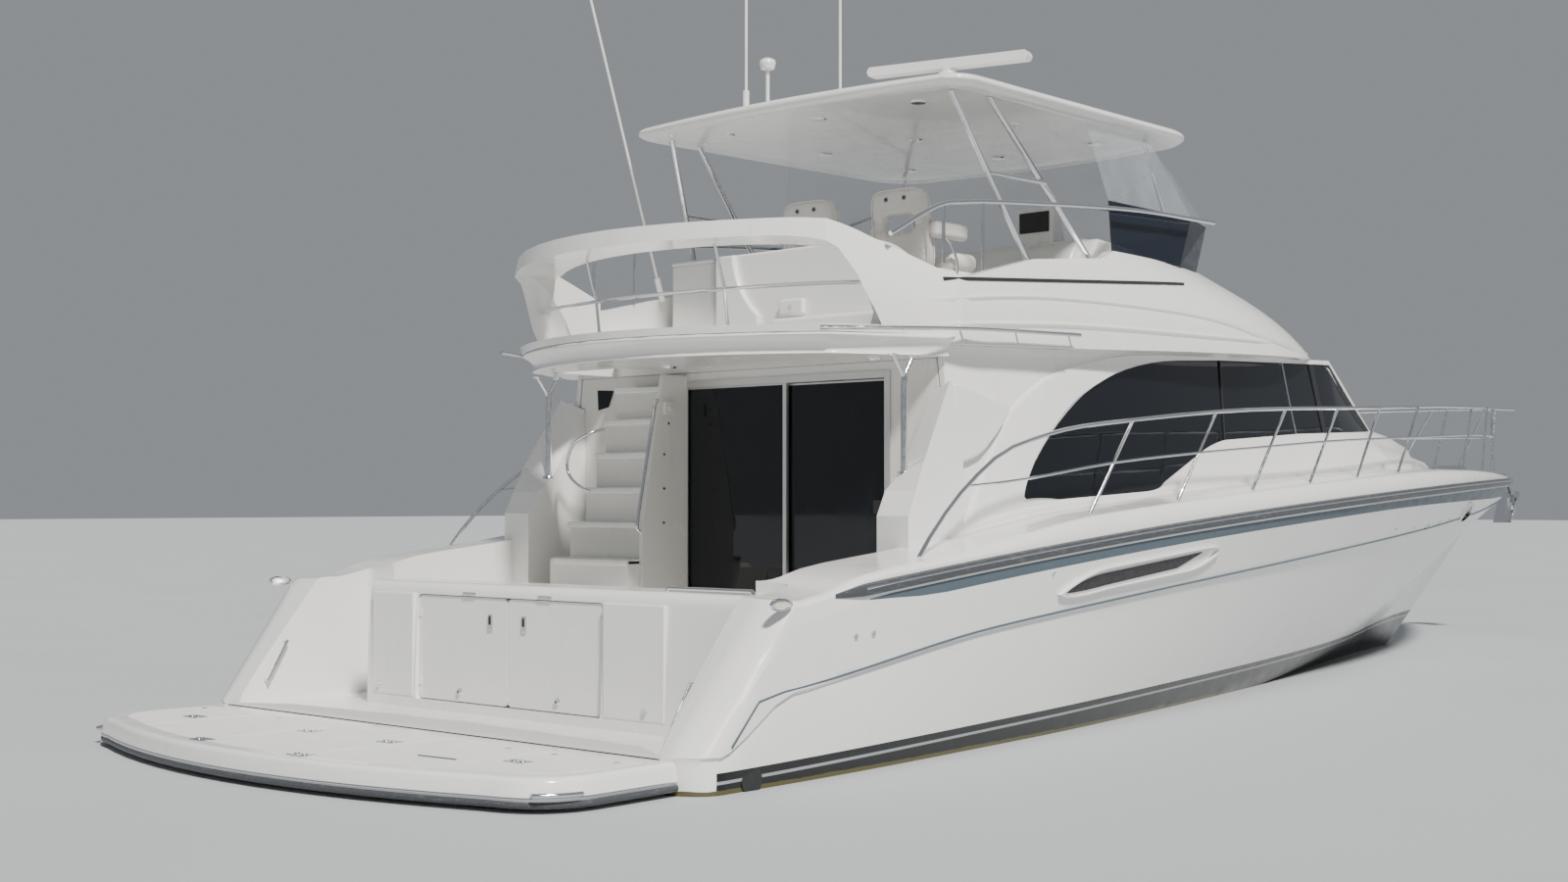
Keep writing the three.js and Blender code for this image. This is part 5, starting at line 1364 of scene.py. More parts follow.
def house_row(x, inset, lift):
    """A closed ring of the deckhouse or the trunk cabin at a station, with a soft shoulder."""
    deck = deck_z(x)
    foot = foot_half(x) - inset
    high, top = house_top(x)
    high -= inset
    top += lift
    trunk = smooth(x, ROOF_FORE_X + 0.6, 9.62)
    shoulder = 0.06 + 0.06 * trunk
    half = [(foot + 0.035, deck - 0.15), (foot + 0.035, deck + 0.04), (foot + 0.028, deck + 0.06),
            (foot + 0.01, deck + 0.078), (foot - 0.005, deck + 0.095)]
    wall_top = (high + 0.05 * trunk, top - shoulder)
    for k in range(1, 7):
        t = k / 6
        half.append((mix(foot - 0.005, wall_top[0], t), mix(deck + 0.095, wall_top[1], t)))
    for k in range(1, 6):
        a = k / 5 * math.pi / 2
        half.append((wall_top[0] - shoulder * trunk * (1 - math.cos(a)),
                     wall_top[1] + shoulder * math.sin(a)))
    edge = half[-1][0]
    for k in range(1, 4):
        half.append((edge * (1 - k / 3), top + 0.04 * trunk * (1 - (1 - k / 3) ** 2)))
    stbd = [(x, -y, z) for y, z in half]
    port = [(x, y, z) for y, z in reversed(half[:-1])]
    return stbd + port


def house_stations(last):
    rows = [x for x, _, _ in HOUSE_STATIONS if x <= last]
    return sorted(set(rows + [2.65 + 0.3 * k for k in range(34) if 2.65 + 0.3 * k < last - 0.05]))


def window_outline(grow=0.0):
    """The side window's opening, a little larger or smaller."""
    g = grow
    return outline(
        (3.38 - g, 1.64), (3.9 - g, 2.2 + g, 4.5, 2.57 + g, 5.734, 2.647 + g), (6.432, 2.685 + g),
        (8.46, 2.76 + g), (9.4 + 4 * g, 2.195 - g), (7.67, 2.128 - g), (6.307, 2.043 - g),
        (6.06, 2.005 - g, 5.858, 1.925 - g), (5.23, 1.69 - g), (5.11, 1.64 - g, 4.9, 1.63 - g),
        (3.52, 1.558 - g), (3.39 - g, 1.552 - g, 3.38 - g, 1.64), steps=16)


def screen_outline(grow=0.0):
    """The windscreen's opening seen from above, a little larger or smaller."""
    aft, fore, aft_half, fore_half = 8.7 - grow, 9.48 + grow, 1.18 + grow, 1.12 + grow
    return [(aft, -aft_half), (fore, -fore_half), (fore, fore_half), (aft, aft_half)]


def wall_half(x, z):
    """The deckhouse wall's half-breadth at a height."""
    low = deck_z(x) + 0.095
    high, top = house_top(x)
    return mix(foot_half(x) - 0.005, high, min(1.0, max(0.0, (z - low) / max(0.05, top - 0.06 - low))))


def house_shell(name, inset, lift):
    """The whole house and trunk cabin as one closed form."""
    rows = [house_row(x, inset, lift) for x in house_stations(TRUNK_FORE_X)]
    return mesh_object(name, skin(bmesh.new(), rows))


class YACHT_OT_deckhouse(Operator):
    """The deckhouse and trunk cabin with their window openings, coaming and deck hatch"""

    bl_idname = "yacht.deckhouse"
    bl_label = "Deckhouse"

    def execute(self, context):
        house = house_shell("deckhouse_skin", 0.0, 0.0)
        house.data.materials.append(paint("gelcoat"))
        rows = [house_row(x - (0.08 if x < 2.66 else 0), SHELL, 0.06 if x < ROOF_FORE_X else -SHELL - 0.02)
                for x in house_stations(10.5)]
        cut(house, mesh_object("cutter", skin(bmesh.new(), rows)))
        cut(house, cutter(screen_outline(), *SCREEN_Z, "z"))
        for side in (-1, 1):
            y0, y1 = mirrored(side, *SIDE_SPAN)
            cut(house, cutter(window_outline(), y0, y1, "y"))
        h = HATCH
        cut(house, box_cutter((h["x0"], -h["half"], 2.0), (h["x1"], h["half"], 2.4)))
        soften(house, 0.01, 3, 34)
        finish(house, "boat", ["deckhouse"], angle=34)
        self.hatch()
        self.eyebrows()
        return {"FINISHED"}

    def hatch(self):
        h = HATCH
        bm = bmesh.new()
        x0, x1, w, y = h["x0"], h["x1"], h["wall"], h["half"]
        for a, b in (((x0 - w, -y - w), (x0, y + w)), ((x1, -y - w), (x1 + w, y + w)),
                     ((x0, -y - w), (x1, -y)), ((x0, y), (x1, y + w))):
            soft_block(bm, (*a, 2.15), (*b, h["z1"]), 0.004)
        piece("hatch_coaming", bm, "steel")
        dressed("hatch_pane", "smoke", "hatch_lid", "hatch", width=0.006, segments=3)

    def eyebrows(self):
        """The long soft ledge where the house side steps in above the side deck."""
        line = ((2.76, 1.44), (3.45, 1.56), (4.17, 1.56), (4.97, 1.63), (6.11, 1.735), (6.95, 1.80),
                (8.7, 1.875), (9.74, 1.86), (11.2, 1.83), (12.3, 1.79))
        profile = ((-0.02, -0.05), (0.012, -0.045), (0.026, -0.02), (0.016, 0.004), (-0.02, 0.02))
        for name, side in SIDES:
            rows = []
            for x, z in smooth_line(line):
                half = wall_half(x, z)
                rows.append([(x, side * (half + out), z + up) for out, up in profile])
            piece("house_ledge_" + name, skin(bmesh.new(), rows), "gelcoat")
            self.arch(name, side)

    def arch(self, name, side):
        """The raised band that sweeps up from the side deck round the aft end of the window."""
        profile = ((0.0, -0.012), (0.0, 0.004), (0.04, 0.015), (0.1, 0.021), (0.5, 0.024), (0.97, 0.024),
                   (1.0, 0.021), (1.0, -0.012))
        rows = []
        for outer_x, outer_z, inner_x, inner_z in smooth_line(WINDOW_ARCH):
            row = []
            for t, out in profile:
                x, z = mix(outer_x, inner_x, t), mix(outer_z, inner_z, t)
                row.append((x, side * (wall_half(x, z) + out), z))
            rows.append(row)
        piece("window_arch_" + name, skin(bmesh.new(), rows), "gelcoat", angle=45)


class YACHT_OT_windows(Operator):
    """Side windows with their slim mullions, and the windscreen"""

    bl_idname = "yacht.windows"
    bl_label = "Windows"

    def execute(self, context):
        for name, side in SIDES:
            pane = house_shell("side_pane_" + name, 0.008, 0.0)
            pane.data.materials.append(paint("glass"))
            cut(pane, house_shell("cutter", 0.020, 0.0))
            y0, y1 = mirrored(side, *SIDE_SPAN)
            cut(pane, cutter(window_outline(-0.001), y0, y1, "y"), operation="INTERSECT")
            finish(pane, "boat", ["side_window_" + name])
            self.mullions(name, side)
        screen = house_shell("screen_pane", 0.0, -0.008)
        screen.data.materials.append(paint("glass"))
        cut(screen, house_shell("cutter", 0.0, -0.020))
        cut(screen, cutter(screen_outline(-0.001), *SCREEN_Z, "z"), operation="INTERSECT")
        finish(screen, "boat", ["windscreen"])
        return {"FINISHED"}

    def mullions(self, name, side):
        """Slim bars on the glass: foot x and z, head x and z, width, finish."""
        bars = ((6.30, 2.045, 6.42, 2.683, 0.018, "black"), (7.62, 2.128, 7.56, 2.728, 0.022, "steel"),
                (8.22, 2.15, 8.16, 2.745, 0.075, "black"), (9.38, 2.2, 8.48, 2.76, 0.13, "black"))
        for k, (x0, z0, x1, z1, width, surface) in enumerate(bars):
            half = width / 2
            profile = ((-half, -0.012), (-half, 0.002), (half, 0.002), (half, -0.012))
            rows = []
            for t in (0.0, 0.5, 1.0):
                x, z = mix(x0, x1, t), mix(z0, z1, t)
                rows.append([(x + u, side * (wall_half(x, z) + out), z) for u, out in profile])
            piece("mullion_%s_%d" % (name, k), skin(bmesh.new(), rows), surface)


class YACHT_OT_saloon(Operator):
    """What shows through the windows: sole, settee, galley, steering console; engines below"""

    bl_idname = "yacht.saloon"
    bl_label = "Saloon"

    def execute(self, context):
        dressed("saloon_joinery", "cherry", "saloon_fitout", width=0.008)
        for name, _ in SIDES:
            dressed("engine_block_" + name, "iron", "engine_" + name, width=0.03, segments=3)
        return {"FINISHED"}


# Flybridge


# z, aft centre x, corner x, corner half, side x, half-breadth, front side x, front half, front x
FLY_LEVELS = (
    (2.64, 1.33, 1.85, 1.5, 2.75, 1.9, 8.5, 1.44, 9.08),
    (2.9, 1.29, 1.79, 1.54, 2.75, 1.88, 8.25, 1.38, 8.8),
    (3.16, 1.29, 1.79, 1.53, 2.75, 1.8, 7.7, 1.32, 8.2),
    (3.42, 1.32, 1.83, 1.5, 2.75, 1.69, 6.8, 1.25, 7.25),
)
FLY_WALLS = (0.26, 0.13, 0.09, 0.09)
FLY_WELL_X = 6.5
STAIR_HATCH = {"x0": 1.95, "x1": 2.6, "y0": 0.56, "y1": 1.29}


def fly_outline(aft, corner, corner_half, side, wide, front_side, front_half, front):
    return outline(
        (corner, -corner_half), (side - 0.25, -wide + 0.06, side, -wide), (front_side - 2.6, -wide),
        (front_side - 0.8, -wide, front_side, -front_half), (front + 0.12, -front_half * 0.55, front, 0),
        (front + 0.12, front_half * 0.55, front_side, front_half),
        (front_side - 0.8, wide, front_side - 2.6, wide), (side, wide),
        (side - 0.25, wide - 0.06, corner, corner_half), (2 * aft - corner, 0, corner, -corner_half),
        steps=10)


def fly_row(row, inset):
    """The moulding's ring at a level, or that of the space inside its walls."""
    z, aft, corner, corner_half, side, wide, front_side, front_half, front = row
    line = fly_outline(aft + inset, corner + inset, corner_half - inset, side + inset, wide - inset,
                       front_side - inset, front_half - inset, front - inset)
    return [(p.x, p.y, z) for p in line]


def fly_level(z):
    """A row of FLY_LEVELS at any height between its first and last."""
    return (z, *along(FLY_LEVELS, z))


def fly_loft(name, shift, heights):
    """The moulding's skin, or the space inside it, through a list of heights."""
    walls = [(row[0], wall) for row, wall in zip(FLY_LEVELS, FLY_WALLS)]
    rows = []
    for z in heights:
        near_z = min(max(z, FLY_LEVELS[0][0]), FLY_LEVELS[-1][0])
        inset = 0.0 if shift is None else along(walls, near_z)[0]
        rows.append(fly_row((z + (shift or 0.0), *fly_level(near_z)[1:]), inset))
    return mesh_object(name, skin(bmesh.new(), rows))


# Where each wing of the aft band ends: z, outer x and half, rim x and half, inner x and half
WING_ENDS = (
    (2.69, 2.19, 1.73, 2.15, 1.68, 2.36, 1.52), (2.8, 2.14, 1.71, 2.095, 1.66, 2.31, 1.51),
    (2.9, 2.09, 1.69, 2.04, 1.64, 2.26, 1.49), (3.0, 2.03, 1.675, 1.98, 1.62, 2.2, 1.46),
    (3.1, 1.945, 1.655, 1.905, 1.59, 2.15, 1.43), (3.165, 1.89, 1.635, 1.86, 1.565, 2.115, 1.39),
    (3.205, 1.82, 1.60, 1.79, 1.53, 2.05, 1.32), (3.23, 1.72, 1.55, 1.68, 1.47, 1.95, 1.22),
    (3.246, 1.60, 1.49, 1.55, 1.40, 1.8, 1.08), (3.252, 1.45, 1.40, 1.40, 1.28, 1.65, 0.9),
)
WING_FORE_X = 2.6
WING_INNER_HALF = 1.48
BAND_LOW_Z = 3.215
# The moulded creases along each side, x and z, and their section: out and up
FLY_CREASES = (
    ("upper", ((2.31, 2.86), (3.78, 2.98), (5.66, 2.99), (6.86, 2.88), (8.0, 2.8))),
    ("lower", ((2.3, 2.70), (4.0, 2.80), (6.0, 2.84), (7.26, 2.86))),
)
CREASE = ((-0.012, -0.06), (0.012, -0.03), (0.02, -0.008), (0.012, 0.004), (-0.012, 0.03))


def wing_opening():
    """The space under the aft band: its rows leave each wing a rolled rim and a dished end face."""
    rows = []
    for z, outer_x, outer_half, rim_x, rim_half, inner_x, inner_half in WING_ENDS:
        reach = 2.2
        lean = min(0.9, (outer_x - rim_x) / (outer_half - rim_half))
        deep = 0.028 * smooth(rim_half - inner_half, 0.0, 0.12)
        stbd = [(rim_x + lean * (reach - rim_half), reach), (rim_x, rim_half),
                (rim_x + deep * 0.6, rim_half - 0.004), (rim_x + deep, rim_half - 0.014)]
        for t in (0.35, 0.7, 1.0):
            dish = 0.025 * math.sin(math.pi * t)
            stbd.append((mix(rim_x + deep, inner_x, t) + dish, mix(rim_half - 0.014, inner_half, t)))
        half = [(0.8, 2.2), *stbd]
        rows.append([(x, -y, z) for x, y in half] + [(x, y, z) for x, y in reversed(half)])
    return rows


def fly_deck_outline(inset):
    """The deck slab's plan: its aft edge follows the moulding, its sides fit inside the house."""
    _, aft, corner, corner_half, side, wide, *_ = FLY_LEVELS[0]
    aft, corner, corner_half, wide = aft + inset, corner + inset, corner_half - inset, wide - inset

    def within(x):
        return house_half(x, FLY_SOLE_Z) - SHELL - 0.004
    fore = 8.2
    return outline(
        (corner, -corner_half), (side - 0.25, -wide + 0.06, side - 0.11, -wide),
        (side - 0.11, -within(2.75)), (5.4, -within(5.4)), (fore, -within(fore)), (fore, within(fore)),
        (5.4, within(5.4)), (side - 0.11, within(2.75)), (side - 0.11, wide),
        (side - 0.25, wide - 0.06, corner, corner_half), (2 * aft - corner, 0, corner, -corner_half),
        steps=16)


class YACHT_OT_flybridge(Operator):
    """The flybridge: deck slab, side mouldings swept into the aft arch, and the front cowl"""

    bl_idname = "yacht.flybridge"
    bl_label = "Flybridge moulding"

    def execute(self, context):
        heights = [2.45, 2.64, 2.70, 2.77, 2.84, 2.90, 2.97, 3.03, 3.10, 3.16, 3.23, 3.29, 3.36, 3.42]
        shell = fly_loft("fly_moulding_skin", None, heights)
        shell.data.materials.append(paint("gelcoat"))
        half = WING_INNER_HALF
        behind_band = outline((WING_FORE_X + 0.001, -half), (2.15, -half), (1.19, 0, 2.15, half),
                              (WING_FORE_X + 0.001, half), steps=16)
        spaces = (
            box_cutter((WING_FORE_X, -2, FLY_SOLE_Z), (FLY_WELL_X, 2, 3.6)),
            box_cutter((0, -half, FLY_SOLE_Z), (WING_FORE_X + 0.001, half, BAND_LOW_Z)),
            cutter(behind_band, BAND_LOW_Z - 0.005, 3.6, "z"),
        )
        for space in spaces:
            cut(shell, cut(fly_loft("cutter", 0.01, heights[1:]), space, operation="INTERSECT"))
        cowl = fly_loft("cutter", -0.06, heights[1:])
        cut(shell, cut(cowl, box_cutter((FLY_WELL_X + 0.06, -2, 2.3), (9.5, 2, 3.6)), operation="INTERSECT"))
        cut(shell, box_cutter((2.7, -1.6, 2.3), (8.2, 1.6, 2.64)))
        above = outline(
            (1.0, 3.364), (1.66, 3.364), (1.76, 3.364, 1.85, 3.345), (1.98, 3.322, 2.11, 3.268),
            (2.33, 3.186), (2.6, 3.08), (2.68, 3.035, 2.9, 3.055), (3.7, 3.24), (4.6, 3.33),
            (4.72, 3.36, 4.83, 3.41), (5.43, 3.41),
            (6.3, 3.39), (7.4, 3.5), (1.0, 3.5), steps=8)
        cut(shell, cutter(above, -2.1, 2.1, "y"))
        cut(shell, mesh_object("cutter", skin(bmesh.new(), wing_opening())))
        cut(shell, box_cutter((0, -2.1, 2.3), (BULKHEAD_X - 0.01, 2.1, FLY_SOLE_Z + 0.0003)))
        lip = [(LIP_LINE[0][0], 1.5), (LIP_LINE[-1][0], 1.5), *reversed(LIP_LINE)]
        cut(shell, cutter([Vector(p) for p in lip], -2.4, 2.4, "y"))
        h = STAIR_HATCH
        cut(shell, box_cutter((h["x0"], h["y0"], 2.63), (h["x1"], h["y1"], 2.9)))
        soften(shell, 0.014, 3, 30)
        finish(shell, "boat", ["flybridge_moulding"], angle=40)
        self.deck()
        self.trim()
        return {"FINISHED"}

    def deck(self):
        """The deck slab: its aft edge is a cove that runs back under a rolled lip."""
        levels = ((FLY_SOLE_Z, 0.012), (2.634, 0.004), (2.624, 0.0), (2.614, 0.004), (2.604, 0.016),
                  (2.588, 0.036), (2.565, 0.052), (2.54, 0.060), (2.518, 0.058), (2.506, 0.05),
                  (SOFFIT_Z, 0.06))
        slab = mesh_object("fly_deck_slab", skin(bmesh.new(), plan_rows(fly_deck_outline, levels)),
                           paint("gelcoat"))
        h = STAIR_HATCH
        cut(slab, box_cutter((h["x0"], h["y0"], 2.4), (h["x1"], h["y1"], 2.7), 0.04, 2))
        finish(slab, "boat", ["flybridge_deck"], angle=50)
        tread = outline((2.0, -1.2), (2.62, -1.38), (5.1, -1.4), (5.1, 0.95), (3.6, 0.95), (3.6, 1.1),
                        (2.65, 1.35), (2.65, 0.5), (1.9, 0.5), (1.7, 0.0, 2.0, -1.2))
        sole = prism(bmesh.new(), tread, FLY_SOLE_Z - 0.01, FLY_SOLE_Z + 0.003, "z")
        piece("fly_sole_tread", sole, "nonskid")

    def trim(self):
        """The dark line and the moulded creases along each side."""
        for name, side in SIDES:
            bm = bmesh.new()
            line = []
            for k in range(15):
                x = 2.62 + 0.22 * k
                z = 3.01 + 0.0712 * (x - 2.62)
                line.append((x, side * (fly_side(x, z) + 0.002), z))
            pipe(bm, line, 0.013, 8, smoothed=False)
            piece("fly_line_" + name, bm, "black")
            for label, table in FLY_CREASES:
                start, end = table[0][0], table[-1][0]
                rows = []
                for x, z in smooth_line(table):
                    half = fly_side(x, z)
                    taper = smooth(x, start, start + 0.5) * (1 - smooth(x, end - 0.6, end))
                    rows.append([(x, side * (half + out * taper - 0.004), z + up) for out, up in CREASE])
                piece("fly_crease_%s_%s" % (label, name), skin(bmesh.new(), rows), "gelcoat")


def fly_side(x, z):
    """The moulding's half-breadth at a height, by walking round its outline."""
    line = fly_row(fly_level(z), 0.0)
    best = 0.0
    for (x0, y0, _), (x1, y1, _) in zip(line, line[1:]):
        if y0 < 0 and min(x0, x1) <= x <= max(x0, x1) and abs(x1 - x0) > 1e-6:
            best = max(best, -mix(y0, y1, (x - x0) / (x1 - x0)))
    return best


class YACHT_OT_flybridge_furniture(Operator):
    """Lounge, settee, bar cabinet, console and wheel on the flybridge"""

    bl_idname = "yacht.flybridge_furniture"
    bl_label = "Flybridge furniture"

    def execute(self, context):
        self.lounge()
        self.cabinet()
        dressed("console", "gelcoat", "flybridge_console", width=0.035, segments=4)
        self.console_gear()
        dressed("wheel", "black", "helm_wheel", "wheel")
        return {"FINISHED"}

    def lounge(self):
        """The moulded lounge bases, with the flared end of the back wall and a courtesy lamp."""
        floor = FLY_SOLE_Z + 0.0003
        bm = bmesh.new()
        soft_block(bm, (3.1, -1.44, floor), (3.5, 0.30, 2.93), 0.02, 4)
        soft_block(bm, (2.75, -1.4, floor), (3.02, -0.15, 2.86), 0.03, 4)
        back = outline(
            (-1.44, floor), (-1.44, 3.08), (-1.25, 3.20), (-1.10, 3.30), (-0.97, 3.39, -0.84, 3.40),
            (0.57, 3.39), (0.6, 3.388, 0.6, 3.36), (0.6, floor), steps=6)
        piece("lounge_back", prism(bmesh.new(), back, 3.0, 3.12, "x"), "gelcoat", soft=(0.022, 4, 40))
        flare = outline(
            (0.6, 3.385), (0.42, 3.385), (0.39, 3.1, 0.16, 2.92), (0.17, floor), (0.6, floor), steps=8)
        piece("lounge_flare", soft_prism(flare, 2.955, 3.01, "x", 0.02), "gelcoat")
        piece("lounge_base", bm, "gelcoat", "boat", ["flybridge_lounge"])
        part = soft_block(bmesh.new(), (2.955, -0.28, 2.9), (3.002, -0.045, 3.02), 0.02, 4)
        piece("lounge_lamp", part, "gelcoat")
        part = rod(bmesh.new(), (2.957, -0.165, 2.965), (2.95, -0.165, 2.965), 0.018, 0.016, 20)
        piece("lounge_lamp_lens", part, "lens")
        part = soft_block(bmesh.new(), (3.7, 1.0, floor), (4.7, 1.52, 2.92), 0.03, 4)
        piece("settee_base", part, "gelcoat", "boat", ["flybridge_settee"])

    def cabinet(self):
        bm = bmesh.new()
        soft_block(bm, (3.5, 1.166, FLY_SOLE_Z + 0.0003), (3.69, 1.63, 3.455), 0.03, 4)
        soft_block(bm, (3.5, 1.166, 3.44), (3.69, 1.63, 3.47), 0.012, 3)
        piece("bar_cabinet", bm, "gelcoat", "boat", ["wet_bar"])
        part = rod(bmesh.new(), (3.5, 1.25, 2.8), (3.49, 1.25, 2.8), 0.018, 0.014, 18)
        piece("cabinet_latch", part, "steel")

    def console_gear(self):
        """The moulded dash cowl, with one display in its pod."""
        cowl = outline(
            (5.36, 3.40), (5.42, 3.60, 5.58, 3.645), (5.72, 3.665, 5.84, 3.60), (5.98, 3.40), steps=8)
        piece("dash_cowl", soft_prism(cowl, -0.93, 0.02, "y", 0.05, 5), "gelcoat")
        pod = outline((5.58, 3.64), (5.585, 3.93), (5.70, 3.915), (5.78, 3.64), steps=4)
        piece("display_pod", soft_prism(pod, -0.62, -0.26, "y", 0.03), "gelcoat")
        part = soft_block(bmesh.new(), (5.568, -0.585, 3.735), (5.59, -0.30, 3.90), 0.006, 3)
        piece("console_display", part, "black")


# Chairs

CHAIRS = (("helm", "helm_seat", -0.59), ("companion", "companion_seat", 0.29))
SEAT_LEAN = 0.13
SEAT_POST_X = 3.98
PAD_VOXEL = 0.006
PAD_PRESSURE = 4.0
PAD_SWELL = 0.012


def stuffed(obj, voxel=PAD_VOXEL):
    """Fills a pad out with a short cloth simulation, kept within a small swell, and rounds it."""
    remesh = obj.modifiers.new("Remesh", "REMESH")
    remesh.mode = "VOXEL"
    remesh.voxel_size = voxel
    settle(obj)
    rest = [v.co.copy() for v in obj.data.vertices]
    cloth = obj.modifiers.new("Cloth", "CLOTH")
    cloth.settings.use_pressure = True
    cloth.settings.uniform_pressure_force = PAD_PRESSURE
    cloth.settings.effector_weights.gravity = 0
    for step in range(1, 21):
        bpy.context.scene.frame_set(step)
    settle(obj)
    bpy.context.scene.frame_set(1)
    for vert, place in zip(obj.data.vertices, rest):
        move = vert.co - place
        if move.length > PAD_SWELL:
            vert.co = place + move.normalized() * PAD_SWELL
    rounded = obj.modifiers.new("Round", "SUBSURF")
    rounded.levels = rounded.render_levels = 1
    settle(obj)
    finish(obj, "boat", angle=80)
    return obj


class YACHT_OT_seats(Operator):
    """The two flybridge chairs and the lounge cushions: stuffed pads with welts, on their bases"""

    bl_idname = "yacht.seats"
    bl_label = "Chairs"

    def execute(self, context):
        for name, node, y in CHAIRS:
            self.back(name, y)
            self.cushion(name, node, y)
            self.pedestal(name, y)
        self.pads()
        return {"FINISHED"}

    def back(self, name, y):
        """A tall back with round shoulders and a slot, leaning aft, with a welt round each face."""
        shape = outline(
            (y - 0.2, 3.215), (y - 0.262, 3.24, y - 0.26, 3.42), (y - 0.255, 3.72),
            (y - 0.25, 3.85, y - 0.16, 3.855), (y, 3.862, y + 0.16, 3.855),
            (y + 0.25, 3.85, y + 0.255, 3.72), (y + 0.26, 3.42), (y + 0.262, 3.24, y + 0.2, 3.215), steps=8)
        slot = outline((y - 0.12, 3.54), (y - 0.20, 3.60, y - 0.12, 3.66), (y + 0.12, 3.66),
                       (y + 0.20, 3.60, y + 0.12, 3.54), steps=6)
        pad = mesh_object("chair_back_" + name, prism(bmesh.new(), shape, 3.665, 3.755, "x"), paint("vinyl"))
        cut(pad, cutter(slot, 3.5, 3.9, "x"))
        soften(pad, 0.034, 5, 40)
        for vert in pad.data.vertices:
            vert.co.x += self.lean(vert.co.z)
        stuffed(pad)
        bm = bmesh.new()
        for x in (3.668, 3.752):
            ring = [(x + self.lean(v), u, v) for u, v in
                    (mix_point(point, (y, 3.54), 0.05) for point in shape)]
            pipe(bm, ring + ring[:1], 0.005, 8, smoothed=False)
        piece("chair_welt_" + name, bm, "vinyl")
        # Black discs in the grommets: painted shade of their holes.
        z = 3.775
        for label, surface, x, near, far, radius, tip, sides in (
                ("chair_grommets_", "steel", 3.657, 0.006, 0.02, 0.022, 0.024, 24),
                ("chair_hole_shade_", "black", 3.65, 0.001, 0.01, 0.012, None, 18)):
            bm = bmesh.new()
            x += self.lean(z)
            for hole_y in (y - 0.085, y + 0.085):
                rod(bm, (x - near, hole_y, z), (x + far, hole_y, z), radius, tip, sides)
            piece(label + name, bm, surface)

    def lean(self, z):
        """How far the back stands aft or forward at a height."""
        return (3.54 - z) * SEAT_LEAN

    def cushion(self, name, node, y):
        bm = bmesh.new()
        soft_block(bm, (3.78, y - 0.285, 3.155), (4.27, y + 0.285, 3.258), 0.04, 5)
        pad = mesh_object("chair_seat_" + name, bm, paint("vinyl"))
        stuffed(pad)
        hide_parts(node)
        part = soft_block(bmesh.new(), (3.98, y - 0.27, 3.262), (4.285, y + 0.27, 3.4), 0.06, 6)
        piece("chair_bolster_" + name, part, "vinyl")
        for side in (-1, 1):
            bm = bmesh.new()
            middle = y + side * 0.278
            soft_block(bm, (3.70, middle - 0.045, 3.475), (4.10, middle + 0.045, 3.6), 0.042, 5)
            label = name + ("_stbd" if side < 0 else "_port")
            piece("chair_arm_" + label, bm, "vinyl")
            bm = bmesh.new()
            bends = ((3.78, middle, 3.49), (3.9, middle, 3.47), (4.0, middle, 3.32),
                     (4.02, y + side * 0.25, 3.16))
            pipe(bm, bends, 0.011, 12)
            piece("chair_arm_bar_" + label, bm, "steel")

    def pedestal(self, name, y):
        x, z = SEAT_POST_X, FLY_SOLE_Z
        bm = bmesh.new()
        soft_block(bm, (3.77, y - 0.2, 3.112), (4.2, y + 0.2, 3.14), 0.01)
        for low, high, radius, tip, sides in (
                (z - 0.005, z + 0.022, 0.19, None, 40), (z + 0.022, z + 0.06, 0.16, 0.08, 40),
                (z + 0.05, 3.12, 0.055, 0.05, 28), (3.04, 3.115, 0.07, 0.12, 28)):
            rod(bm, (x, y, low), (x, y, high), radius, tip, sides)
        piece("chair_post_" + name, bm, "aluminium")

    def pads(self):
        """Loose cushions on the lounge and the settee."""
        spans = (
            ("lounge_pad_a", (3.135, -1.42, 2.935), (3.49, -0.575, 3.03)),
            ("lounge_pad_b", (3.135, -0.56, 2.935), (3.49, 0.285, 3.03)),
            ("settee_pad_a", (3.71, 1.01, 2.925), (4.195, 1.51, 3.012)),
            ("settee_pad_b", (4.205, 1.01, 2.925), (4.69, 1.51, 3.012)),
        )
        for name, low, high in spans:
            bm = bmesh.new()
            soft_block(bm, low, high, 0.035, 5)
            stuffed(mesh_object(name, bm, paint("vinyl")), 0.008)


def mix_point(a, b, t):
    return mix(a[0], b[0], t), mix(a[1], b[1], t)


# Hardtop


HARDTOP = {"aft": 2.9, "corner": 3.03, "half": 1.49, "side": 3.25, "wide": 1.64, "front": 6.35}


def hardtop_outline(inset):
    t = HARDTOP
    corner, half, side, front = t["corner"] + inset, t["half"] - inset, t["side"] + inset, t["front"]
    w = t["wide"] - inset
    return outline(
        (corner, -half), (t["corner"] + 0.06, -w, side, -w), (front - 0.5, -w + 0.06),
        (front - 0.06, -w + 0.08, front - inset, -w + 0.5), (front + 0.12, 0, front - inset, w - 0.5),
        (front - 0.06, w - 0.08, front - 0.5, w - 0.06), (side, w),
        (t["corner"] + 0.06, w, corner, half), (t["aft"] - 0.06, 0, corner, -half), steps=12)


